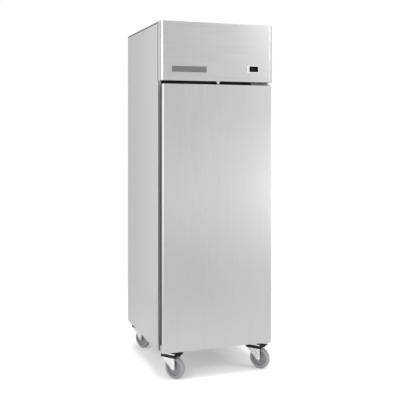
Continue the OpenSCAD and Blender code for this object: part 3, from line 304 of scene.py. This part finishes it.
# %% Brushed stainless
def brushed(name, colour, grain, rough=0.34):
    look = plain(name, colour, metal=1.0, rough=rough)
    fine = pattern(look, grain, detail=3.0)
    cloud = pattern(look, (2.0, 2.0, 1.2), detail=1.0)
    dark = tuple(c * 0.93 for c in colour)
    light = tuple(c * 1.05 for c in colour)
    tint(look, spread(look, fine, 0.0, 1.0), dark, light)
    tree = look.node_tree
    add = tree.nodes.new("ShaderNodeMath")
    add.operation = "ADD"
    link(tree, spread(look, fine, rough - 0.05, rough + 0.05), add.inputs[0])
    link(tree, spread(look, cloud, -0.03, 0.03), add.inputs[1])
    rough_with(look, add.outputs[0])
    bump_with(look, fine, 0.00002, edge=0.0014)
    return look


upright_grain = (900.0, 900.0, 4.0)
level_grain = (4.0, 900.0, 900.0)
steel_upright = brushed("stainless_upright", (0.40, 0.40, 0.40), upright_grain)
steel_level = brushed("stainless_level", (0.41, 0.41, 0.41), level_grain)
steel_inside = brushed("stainless_inside", (0.60, 0.60, 0.60), upright_grain, rough=0.28)

# %% [markdown]
# ### Zinc plate, wire and paint
# Zinc plate is bright with a faint mottle. Chromed wire is a cleaner mirror. The frame
# and the compressor are painted, and paint has a slight orange-peel in its gloss.

# %% Zinc, wire and paint
zinc = plain("zinc_plate", (0.56, 0.565, 0.57), metal=1.0, rough=0.28)
mottle = pattern(zinc, (60.0, 60.0, 60.0), detail=3.0)
tint(zinc, spread(zinc, mottle, 0.0, 1.0), (0.50, 0.51, 0.52), (0.62, 0.625, 0.63))
rough_with(zinc, spread(zinc, mottle, 0.20, 0.34))
bump_with(zinc, mottle, 0.00003, edge=0.0006)

wire = plain("chromed_wire", (0.82, 0.82, 0.83), metal=1.0, rough=0.16)
drawn = pattern(wire, (200.0, 20.0, 200.0))
rough_with(wire, spread(wire, drawn, 0.12, 0.22))


def painted(name, colour, rough):
    look = plain(name, colour, rough=rough)
    peel = pattern(look, (240.0, 240.0, 240.0))
    bump_with(look, peel, 0.00008, edge=0.0008)
    rough_with(look, spread(look, peel, rough - 0.06, rough + 0.06))
    return look


frame_paint = painted("frame_paint", (0.22, 0.225, 0.23), 0.45)
motor_paint = painted("motor_paint", (0.018, 0.018, 0.019), 0.32)

# %% [markdown]
# ### Plastics, rubber, foam and copper
# Moulded plastic has a fine texture from its mould. The tyres are a soft grey rubber that
# picks up dust, and foam shows its cells where it is cut.


# %% Plastics and rubber
def moulded(name, colour, rough, grain=500.0, depth=0.00005, specular=0.5):
    look = plain(name, colour, rough=rough, specular=specular)
    skin = pattern(look, (grain, grain, grain))
    cloud = pattern(look, (8.0, 8.0, 8.0))
    tint(look, spread(look, cloud, 0.0, 1.0), tuple(c * 0.88 for c in colour), colour)
    rough_with(look, spread(look, skin, rough - 0.05, rough + 0.05))
    bump_with(look, skin, depth, edge=0.0008)
    return look


black_plastic = moulded("black_plastic", (0.008, 0.008, 0.0085), 0.50, specular=0.15)
# Near black with hardly any gloss: painted shade for the shadow lines in the cabinet's seams
seam_shade_black = moulded("seam_shade_black", (0.003, 0.003, 0.003), 0.8, specular=0.05)
light_plastic = moulded("light_plastic", (0.62, 0.63, 0.64), 0.38)
white_plastic = moulded("white_plastic", (0.80, 0.80, 0.78), 0.35)
tyre_rubber = moulded("grey_tyre", (0.23, 0.24, 0.26), 0.62, grain=260.0, depth=0.00012)
gasket_rubber = moulded("gasket_rubber", (0.24, 0.24, 0.245), 0.5)
mount_rubber = moulded("mount_rubber", (0.02, 0.02, 0.02), 0.7)
foam = moulded("foam", (0.62, 0.52, 0.26), 0.9, grain=900.0, depth=0.0003)
plate_finish = brushed("plate_finish", (0.15, 0.15, 0.152), level_grain, rough=0.4)
fin_metal = brushed("fin_metal", (0.62, 0.64, 0.66), upright_grain, rough=0.3)
copper = plain("copper", (0.72, 0.36, 0.22), metal=1.0, rough=0.3)
tarnish = pattern(copper, (30.0, 30.0, 30.0), detail=3.0)
tint(copper, spread(copper, tarnish, 0.0, 1.0), (0.42, 0.20, 0.12), (0.80, 0.42, 0.26))
lamp_cover = plain("lamp_cover", (0.86, 0.87, 0.86), rough=0.35)
ripple = pattern(lamp_cover, (300.0, 4.0, 4.0))
bump_with(lamp_cover, ripple, 0.0002)
window_glass = plain("window_glass", (0.0012, 0.0012, 0.0016), rough=0.08, specular=0.04)
haze = pattern(window_glass, (20.0, 20.0, 20.0))
rough_with(window_glass, spread(window_glass, haze, 0.08, 0.16))

# %% [markdown]
# ## Dressing the CAD pieces
# Each CAD piece keeps its shape and gets its finish by its material slots. The grain
# runs upright on the sides and the door, and level on the fascia, as on the real sheets.

# %% Which finish goes on which piece
finishes = {
    "outer_steel": steel_upright,
    "inner_steel": steel_inside,
    "zinc": zinc,
    "frame_paint": frame_paint,
    "motor_paint": motor_paint,
    "plate_grey": plate_finish,
    "fins": fin_metal,
    "copper": copper,
    "wire": wire,
    "black_plastic": black_plastic,
    "light_plastic": light_plastic,
    "white_plastic": white_plastic,
    "lamp": lamp_cover,
    "window": window_glass,
    "foam": foam,
    "gasket": gasket_rubber,
    "rubber": mount_rubber,
    "tyre_grey": tyre_rubber,
}
slot_of = {s["node"]: s["material_slot"] for s in frame["record"]["subparts"]}


def dress(name, look):
    mesh = nodes[name].data
    mesh.materials.clear()
    mesh.materials.append(look)


for name, slot in slot_of.items():
    dress(name, finishes[slot])
dress("fascia_panel", steel_level)
dress("roof_panel", steel_level)
# The upper hinge bracket gets the dark frame paint as painted shade, for the shadow it lies in
# under the fascia
dress("hinge_bracket_top", frame_paint)
print("dressed", len(slot_of), "pieces")

# %% [markdown]
# ## Tools for the new pieces
# The pieces below are modelled with Blender's own mesh operators on a bmesh. Short helpers
# do what every piece needs: a block with chamfered edges, a round bar between two points,
# an outline turned on an axis as on a lathe, and a ring or bend of round wire.


# %% Blocks and bars
def block(bm, low, high, chamfer=0.0):
    """A box between two corners, with its edges chamfered where a width is given."""
    made = bmesh.ops.create_cube(bm, size=1.0)
    low, high = Vector(low), Vector(high)
    bmesh.ops.scale(bm, vec=high - low, verts=made["verts"])
    bmesh.ops.translate(bm, vec=(low + high) / 2, verts=made["verts"])
    if chamfer:
        edges = list({e for v in made["verts"] for e in v.link_edges})
        bmesh.ops.bevel(bm, geom=edges, offset=chamfer, offset_type="OFFSET", segments=1,
                        profile=0.5, affect="EDGES", material=-1)


def bar(bm, start, end, radius, sides):
    """A round bar between two points."""
    start, end = Vector(start), Vector(end)
    turn = (end - start).to_track_quat("Z", "Y").to_matrix().to_4x4()
    place = Matrix.Translation((start + end) / 2) @ turn
    bmesh.ops.create_cone(bm, cap_ends=True, segments=sides, radius1=radius, radius2=radius,
                          depth=(end - start).length, matrix=place)


# %% Turned outlines and bent wire
def lathe(bm, outline, centre, axis, steps):
    """Turns an outline of (radius, distance along the axis) points round an axis."""
    centre, axis = Vector(centre), Vector(axis).normalized()
    side = axis.orthogonal().normalized()
    verts = [bm.verts.new(centre + side * r + axis * h) for r, h in outline]
    edges = [bm.edges.new(pair) for pair in zip(verts, verts[1:] + verts[:1])]
    bmesh.ops.spin(bm, geom=verts + edges, cent=centre, axis=axis, dvec=(0, 0, 0),
                   angle=2 * math.pi, steps=steps, use_merge=True, use_normal_flip=False,
                   use_duplicate=False)


def hoop(bm, centre, axis, radius, thick, angle=360.0, start=None, steps=44, sides=8):
    """Bends round wire along a circle, or along a part of it from the direction start."""
    centre, axis = Vector(centre), Vector(axis).normalized()
    side = Vector(start).normalized() if start else axis.orthogonal().normalized()
    turn = axis.cross(side).to_track_quat("Z", "Y").to_matrix().to_4x4()
    place = Matrix.Translation(centre + side * radius) @ turn
    ring = bmesh.ops.create_circle(bm, cap_ends=False, segments=sides, radius=thick,
                                   matrix=place)
    edges = list({e for v in ring["verts"] for e in v.link_edges})
    bmesh.ops.spin(bm, geom=ring["verts"] + edges, cent=centre, axis=axis, dvec=(0, 0, 0),
                   angle=math.radians(angle), steps=steps, use_merge=angle >= 360.0,
                   use_normal_flip=False, use_duplicate=False)


def paint_new(bm, index):
    """Gives the faces made since the last call the material slot index."""
    for face in bm.faces:
        if not face.tag:
            face.material_index = index
            face.tag = True


# %% Turn a bmesh into a piece
def piece(name, bm, body, looks, sharp=35.0):
    """Makes an object of the bmesh, smooth up to the angle sharp, and ties it to a body."""
    bmesh.ops.remove_doubles(bm, verts=bm.verts, dist=0.000001)
    bmesh.ops.recalc_face_normals(bm, faces=bm.faces)
    mesh = bpy.data.meshes.new(name)
    bm.to_mesh(mesh)
    bm.free()
    mesh.shade_smooth()
    mesh.set_sharp_from_angle(angle=math.radians(sharp))
    for look in looks:
        mesh.materials.append(look)
    made = bpy.data.objects.new(name, mesh)
    bpy.context.scene.collection.objects.link(made)
    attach(made, body)
    print(name, len(mesh.polygons), "faces")
    return made


def stand_in_for(made, node):
    """Lets a new piece take the place of a CAD piece."""
    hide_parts(node)


# %% [markdown]
# ## The wheels
# A castor wheel for a kitchen has a hard moulded core and a grey tyre with a rounded
# tread. The outline of each is turned on the axle, so a lathe makes them exactly as a
# mould does. The CAD wheel gives the centre, and the angle of the castor gives the axle's
# direction.

# %% Wheels
castor_turns = {"fl": -52.0, "fr": -52.0, "rl": -66.0, "rr": -66.0}
corners = list(castor_turns)

# Half outlines, as (radius, distance from the wheel's middle)
tyre_half = [
    (0.0472, 0.0148), (0.0492, 0.0156), (0.0524, 0.0154), (0.0556, 0.0141), (0.0584, 0.0119),
    (0.0606, 0.0089), (0.0620, 0.0052), (0.0625, 0.0018),
]
core_half = [
    (0.0062, 0.0185), (0.0125, 0.0185), (0.0137, 0.0174), (0.0143, 0.0080), (0.0158, 0.0058),
    (0.0262, 0.0058), (0.0268, 0.0070), (0.0290, 0.0070), (0.0296, 0.0058), (0.0405, 0.0058),
    (0.0420, 0.0076), (0.0427, 0.0130), (0.0438, 0.0140), (0.0474, 0.0140),
]


def both_halves(half):
    return half + [(r, -h) for r, h in reversed(half)]


def roll_axis(corner):
    """The direction of a castor's axle."""
    turn = math.radians(castor_turns[corner])
    return Vector((-math.sin(turn), math.cos(turn), 0.0))


core_plastic = moulded("wheel_core", (0.19, 0.194, 0.205), 0.42)


def wheel(corner):
    node = "castor_wheel_" + corner
    centre = centre_of(node)
    bm = bmesh.new()
    lathe(bm, both_halves(core_half), centre, roll_axis(corner), steps=56)
    paint_new(bm, 0)
    lathe(bm, both_halves(tyre_half), centre, roll_axis(corner), steps=96)
    paint_new(bm, 1)
    made = piece("tyred_wheel_" + corner, bm, "wheel_" + corner, [core_plastic, tyre_rubber])
    stand_in_for(made, node)


for corner in corners:
    wheel(corner)

# %% [markdown]
# ## The axle ends
# The axle is a bolt with a domed cap at each end. The cap is turned as one outline: a
# washer, and a low dome over it. It catches the light as a small bright spot.

# %% Axle caps
axle_cap = [(0.0, 0.0), (0.0088, 0.0), (0.0088, 0.0012), (0.0076, 0.0016), (0.0074, 0.0040),
            (0.0060, 0.0056), (0.0034, 0.0065), (0.0, 0.0068)]
fork_outside = 0.0220  # from the wheel's middle to the outer face of a fork's leg


def axle_caps(corner):
    centre = centre_of("castor_wheel_" + corner)
    bm = bmesh.new()
    for side in (-1, 1):
        outward = roll_axis(corner) * side
        lathe(bm, axle_cap, centre + outward * fork_outside, outward, steps=28)
    made = piece("axle_caps_" + corner, bm, "castor_" + corner, [zinc])


for corner in corners:
    axle_caps(corner)

# %% [markdown]
# ## The shelves
# The shelves are welded from round wire and chromed. A rod down each side and four rods
# across make the frame, and thinner wires lie over them from the front to the rear, a
# little sunk where the weld has melted them in.

# %% Wire shelves
rod_radius = 0.0035
cross_rods = 4
cross_radius = 0.0030
wires = 21
wire_radius = 0.0020
wire_pitch = 0.025
wire_past = 0.0007  # how far the wires run past the first and the last cross rod


def wire_shelf(name):
    low, high = box_of(name)
    level = low.z + rod_radius
    bm = bmesh.new()
    for x in (low.x + rod_radius, high.x - rod_radius):
        bar(bm, (x, low.y, level), (x, high.y, level), rod_radius, sides=16)
    first, last = low.y + rod_radius, high.y - rod_radius
    for k in range(cross_rods):
        y = first + k * (last - first) / (cross_rods - 1)
        bar(bm, (low.x + rod_radius, y, level), (high.x - rod_radius, y, level), cross_radius,
            sides=16)
    top = level + rod_radius
    for n in range(wires):
        x = (n - (wires - 1) / 2) * wire_pitch
        bar(bm, (x, first - wire_past, top), (x, last + wire_past, top), wire_radius, sides=10)
    stand_in_for(piece(name + "_wires", bm, name, [wire]), name)


for name in ("shelf_low", "shelf_middle", "shelf_high"):
    wire_shelf(name)

# %% [markdown]
# ## The coils
# A coil is a stack of thin aluminium fins on rows of copper tube. The tubes are joined by
# return bends outside the end plates, apart from the first and the last row at the end
# where the pipes join. The CAD model keeps only a few fins. Here they stand as close as on
# the real one, each a plain thin sheet, because there are so many of them.

# %% Coils
tube_radius = 0.0045
fin_half = 0.00015  # half of a fin's thickness
fin_inset = 0.001  # how far inside the end plates' outline the fins end
end_plate = 0.002
end_room = 0.012  # what both end plates and the gaps beside them take of the width
condenser_stand = 0.014  # the height of the condenser's foot under its fins


def coil(name, rows, half_width, stand, pitch):
    """A coil of some rows of tubes, its fins a given stand above its foot."""
    low, high = box_of(name)
    middle, depth = (low.x + high.x) / 2, high.y - low.y
    x0, x1, y = middle - half_width, middle + half_width, (low.y + high.y) / 2
    z0, quarter = low.z + stand, depth / 4
    bm = bmesh.new()
    fins = int((x1 - x0 - end_room) / pitch)
    for k in range(fins + 1):
        x = middle + (k - fins / 2) * pitch
        block(bm, (x - fin_half, low.y + fin_inset, z0),
              (x + fin_half, high.y - fin_inset, high.z - fin_inset))
    for x in (x0, x1 - end_plate):
        block(bm, (x, low.y, low.z), (x + end_plate, high.y, high.z), chamfer=0.0004)
    paint_new(bm, 0)
    for k in range(rows):
        z = z0 + (k + 0.5) * (high.z - z0) / rows
        for side in (-1, 1):
            tube_y = y + side * quarter
            bar(bm, (x0, tube_y, z), (x1, tube_y, z), tube_radius, sides=14)
        bends = [(x0, 1), (x1, -1)] if 0 < k < rows - 1 else [(x0, 1)]
        for x, way in bends:
            hoop(bm, (x, y, z), (0, 0, 1), quarter, tube_radius, angle=180.0,
                 start=(0, way, 0), steps=12, sides=14)
    paint_new(bm, 1)
    stand_in_for(piece(name + "_fins", bm, "cabinet", [fin_metal, copper]), name)


coil("evaporator_coil", rows=4, half_width=0.180, stand=0.0168, pitch=0.0045)
coil("condenser_coil", rows=5, half_width=0.130, stand=condenser_stand, pitch=0.0032)

# %% [markdown]
# ## The fan guards
# A fan guard is spot-welded from bright wire: a set of rings, and a few spokes across
# them. Each ring is a small circle of wire bent all the way round.

# %% Fan guards
guard_step = 0.0013  # from the sheet to the rings' middle, and from there to the spokes'
ring_radius = 0.0011
spoke_radius = 0.0012
spoke_past = 0.004


def guard(name, centre, rim, rings, side):
    """Rings of wire round a hole's centre, with six spokes before (-1) or behind (1) them."""
    bm = bmesh.new()
    centre = Vector(centre)
    over = centre + Vector((0, side * guard_step, 0))
    for k in range(1, rings + 1):
        hoop(bm, centre, (0, 1, 0), rim * k / rings, ring_radius)
    for k in range(6):
        way = Vector((math.cos(math.radians(60 * k)), 0.0, math.sin(math.radians(60 * k))))
        start, end = over + way * rim / rings, over + way * (rim + spoke_past)
        bar(bm, start, end, spoke_radius, sides=8)
    return piece(name, bm, "cabinet", [wire])


cover_low, cover_high = box_of("evaporator_cover")
shroud_low, shroud_high = box_of("condenser_shroud")
inner_place = (0.0, cover_low.y - guard_step, (cover_low.z + cover_high.z) / 2)
outer_place = ((shroud_low.x + shroud_high.x) / 2, shroud_high.y + guard_step,
               (shroud_low.z + condenser_stand + shroud_high.z) / 2)
inner_guard = guard("evaporator_guard", inner_place, rim=0.066, rings=6, side=-1)
outer_guard = guard("condenser_guard", outer_place, rim=0.095, rings=7, side=1)
for made in (inner_guard, outer_guard):
    stand_in_for(made, "fan_guards")

# %% [markdown]
# ## The door's gasket
# The magnetic gasket is an extruded profile: a base that snaps into the door, a soft
# bellows, and a flat strip with the magnet in it. We start from one flat face as large as
# the gasket, inset it again and again while we raise or lower each ring, and take out
# the face that is left in the middle.

# %% Gasket
gasket_low, gasket_high = box_of("door_gasket")
span = gasket_high - gasket_low
middle = centre_of("door_gasket")
bm = bmesh.new()
lay = (Matrix.Translation((middle.x, gasket_low.y, middle.z))
       @ Matrix.Rotation(math.radians(90), 4, "X"))
bmesh.ops.create_grid(bm, x_segments=1, y_segments=1, size=0.5, matrix=Matrix.Identity(4))
bmesh.ops.scale(bm, vec=(span.x, span.z, 1.0), verts=bm.verts)
bmesh.ops.transform(bm, matrix=lay, verts=bm.verts)
bm.normal_update()

# Each step of the profile, as (inset, lift)
gasket_steps = [
    (0.0003, 0.0020), (0.0020, 0.0004), (0.0006, -0.0009), (0.0014, 0.0), (0.0006, 0.0046),
    (0.0010, 0.0011), (0.0038, 0.0), (0.0005, -0.0005), (0.0036, 0.0), (0.0005, 0.0005),
    (0.0032, 0.0), (0.0010, -0.0012), (0.0010, -0.0024), (0.0012, 0.0008), (0.0012, -0.0010),
    (0.0008, -0.0024), (0.0012, -0.0010),
]
centre_faces = list(bm.faces)
for thickness, lift in gasket_steps:
    bmesh.ops.inset_region(bm, faces=centre_faces, thickness=thickness, depth=0.0,
                           use_boundary=True, use_even_offset=True)
    raised = list({v for f in centre_faces for v in f.verts})
    bmesh.ops.translate(bm, vec=(0, lift, 0), verts=raised)
bmesh.ops.delete(bm, geom=centre_faces, context="FACES_ONLY")
stand_in_for(piece("gasket_bellows", bm, "door", [gasket_rubber], sharp=50.0), "door_gasket")

# %% [markdown]
# ## Screws
# Sheet metal is held by pan-head screws with a socket. One outline, turned once, gives the
# washer face, the dome and the socket. The same head is set wherever such a cabinet shows
# one.

# %% Screw heads
# The outline for a head with a radius of 1, as (radius, height)
screw_outline = [(0.0, 0.0), (1.0, 0.0), (1.0, 0.14), (0.92, 0.30), (0.74, 0.43), (0.52, 0.50),
                 (0.36, 0.50), (0.32, 0.46), (0.30, 0.16), (0.0, 0.12)]
hinge_screw, panel_screw = 0.005, 0.0042  # the heads' radii


def screw_head(bm, place, direction, radius):
    lathe(bm, [(r * radius, h * radius) for r, h in screw_outline], place, direction, steps=14)


bracket_low, bracket_high = box_of("hinge_bracket_top")
foot_low, _ = box_of("hinge_bracket_bottom")
screw_low, screw_high = box_of("hinge_screws")
hinge_line = cabinet_low.y - 0.004  # the front face of the brackets' sheet
bracket_middle = (bracket_low.x + bracket_high.x) / 2
bm = bmesh.new()
for x in (bracket_low.x + 0.014, bracket_middle, bracket_high.x - 0.014):
    screw_head(bm, (x, hinge_line, screw_high.z - hinge_screw), (0, -1, 0), hinge_screw)
for x in (foot_low.x + 0.012, foot_low.x + 0.042):
    screw_head(bm, (x, hinge_line, screw_low.z + hinge_screw), (0, -1, 0), hinge_screw)
stand_in_for(piece("hinge_screw_heads", bm, "cabinet", [zinc]), "hinge_screws")

# %% Panel screws
back_low, back_high = box_of("back_panel")
grille_low, grille_high = box_of("rear_grille")
bm = bmesh.new()
flange_x = 0.331  # the middle of the side panels' rear flanges
edge_in = 0.018  # how far in from the edge of the back and the grille a screw sits
sheet_rear = back_high.y - 0.001
flange_z = [back_low.z + 0.05 + k * 0.27 for k in range(6)]
flange_z += [grille_low.z + 0.04, grille_high.z - 0.03]
sheet_z = [back_low.z + edge_in, back_high.z - edge_in, grille_low.z + edge_in]
sheet_z += [grille_high.z - 0.02]
for z in flange_z:
    for x in (-flange_x, flange_x):
        screw_head(bm, (x, cabinet_high.y, z), (0, 1, 0), panel_screw)
for x in (-0.2, -0.067, 0.067, 0.2):
    for z in sheet_z:
        screw_head(bm, (x, sheet_rear, z), (0, 1, 0), panel_screw)
for x in (cover_low.x + 0.032, cover_high.x - 0.032):
    for z in (cover_low.z + 0.014, cover_high.z - 0.014):
        screw_head(bm, (x, cover_low.y, z), (0, -1, 0), panel_screw)
piece("panel_screws", bm, "cabinet", [zinc])

# %% [markdown]
# ## Painted seam shade
# The folded sheets meet in narrow seams that lie in shade. Near-black strips set in them are
# painted shade, so the cabinet shows a thin dark line along its upper side edges and behind
# the fascia. The line behind the fascia ends below the fascia's hinge, where the sheet needs
# room to turn.


# %% Painted seam shade
# Near-black strips in the roof seams and behind the fascia, as painted shade for the shadow in
# those gaps
def paint_seam_shade():
    bm = bmesh.new()
    proud, depth, width = 0.0003, 0.0015, 0.0046
    roof_seam = cabinet_high.z - 0.0085
    below_hinge = cabinet_high.z - 0.0120
    behind_front = cabinet_low.y + 0.0030
    flank = abs(cabinet_low.x)
    for side in (-1, 1):
        low_x, high_x = sorted((side * (flank + proud), side * (flank - depth)))
        block(bm, (low_x, cabinet_low.y, roof_seam),
              (high_x, cabinet_high.y, roof_seam + width))
        block(bm, (low_x, fascia_high.y + proud, fascia_low.z),
              (high_x, behind_front, below_hinge))
    piece("painted_seam_shade", bm, "cabinet", [seam_shade_black])


paint_seam_shade()

# %% [markdown]
# ## The louvres
# The cover behind the unit is slotted, and each slot is pressed into a louvre: a narrow
# blade that leans inwards, so that warm air leaves and nothing drips in. A blade is
# a thin block, turned about its long edge before it is set in its slot.

# %% Louvre blades
blade = (0.1098, 0.0008, 0.0105)
lean = Matrix.Rotation(math.radians(-42), 3, "X")
slot_step, slot_half, slot_height = 0.134, 0.055, 0.007
first_row, rows = 0.060, 9
row_step = (grille_high.z + 0.002 - grille_low.z - 2 * first_row) / rows
blade_y = 0.3785  # the middle of the cover's sheet
bm = bmesh.new()
for column in (-1.5, -0.5, 0.5):
    for row in range(rows):
        x = column * slot_step + slot_half
        z = grille_low.z + first_row + row * row_step + slot_height
        made = bmesh.ops.create_cube(bm, size=1.0)
        bmesh.ops.scale(bm, vec=blade, verts=made["verts"])
        bmesh.ops.translate(bm, vec=(0, 0, -blade[2] / 2), verts=made["verts"])
        bmesh.ops.rotate(bm, cent=(0, 0, 0), matrix=lean, verts=made["verts"])
        bmesh.ops.translate(bm, vec=(x, blade_y, z), verts=made["verts"])
piece("louvre_blades", bm, "cabinet", [steel_upright])

# %% [markdown]
# ## The controller's display
# The display shows a temperature in pale blue segments behind the dark window. A segment
# is a small bar with bevelled ends, and a digit lights some of its seven. A few round
# lamps stand beside the digits. In the photograph's bright room they show only faintly.

# %% Display segments
display_blue = plain("display_blue", (0.001, 0.006, 0.008))
shader = shader_of(display_blue)
shader.inputs["Emission Color"].default_value = (0.22, 0.72, 0.95, 1.0)
flicker = pattern(display_blue, (900.0, 900.0, 900.0))
link(display_blue.node_tree, spread(display_blue, flicker, 0.0020, 0.0050),
     shader.inputs["Emission Strength"])
window_low, window_high = box_of("controller_window")
front = window_low.y - 0.00012
width, height, stroke = 0.0085, 0.0155, 0.0016  # of a digit and its segments
segment_chamfer = 0.00004
lit_parts = {"3": "abcdg", "5": "acdfg"}


def digit(bm, sign, x, z):
    """Sets the lit segments of one digit with its lower left corner at x, z."""
    half = height / 2

    # Where each of the seven segments starts, and whether it lies level
    places = {
        "a": (0, height, 1), "g": (0, half, 1), "d": (0, 0, 1),
        "f": (0, half, 0), "b": (width, half, 0), "e": (0, 0, 0), "c": (width, 0, 0),
    }
    for part in lit_parts[sign]:
        dx, dz, level = places[part]
        low = Vector((x + dx, front, z + dz))
        if level:
            block(bm, low + Vector((stroke * 0.6, 0, -stroke / 2)),
                  low + Vector((width - stroke * 0.6, 0.0001, stroke / 2)), segment_chamfer)
        else:
            block(bm, low + Vector((-stroke / 2, 0, stroke * 0.6)),
                  low + Vector((stroke / 2, 0.0001, half - stroke * 0.6)), segment_chamfer)


bm = bmesh.new()
base_z = (window_low.z + window_high.z) / 2 - 0.0070
left = (window_low.x + window_high.x) / 2 - 0.0155
digit(bm, "3", left, base_z)
digit(bm, "5", left + 0.0145, base_z)

# The decimal point, and the round lamps beside the digits
block(bm, (left + 0.0107, front, base_z - 0.0008),
      (left + 0.0123, window_low.y - 0.00002, base_z + 0.0008), segment_chamfer)
lamp_x, lamp_step, lamp_radius = window_low.x + 0.0065, 0.0045, 0.0008
for k in range(4):
    lamp_z = base_z + 0.0005 + k * lamp_step
    bar(bm, (lamp_x, front, lamp_z), (lamp_x, window_low.y - 0.00001, lamp_z), lamp_radius,
        sides=12)
piece("display_segments", bm, "fascia", [display_blue])


# %% Key marks
def key_mark(name, body, turn):
    """A small flat triangle on a key: turned by 30 degrees it points up, by -30 down."""
    low, _ = box_of(name)
    middle = centre_of(name)
    facing = Matrix.Rotation(math.radians(90), 4, "X")
    turned = facing @ Matrix.Rotation(math.radians(turn), 4, "Z")
    place = Matrix.Translation((middle.x, low.y - 0.00004, middle.z)) @ turned
    bm = bmesh.new()
    bmesh.ops.create_cone(bm, cap_ends=True, segments=3, radius1=0.0019, radius2=0.0018,
                          depth=0.0002, matrix=place)
    piece(name + "_mark", bm, body, [black_plastic])


key_mark("controller_key_up", "key_up", 30)
key_mark("controller_key_down", "key_down", -30)

# %% [markdown]
# ## Closing the lesson
# The view transform is set to Standard, so that a colour shows as it was written.

# %% Finish
bpy.context.scene.view_settings.view_transform = "Standard"
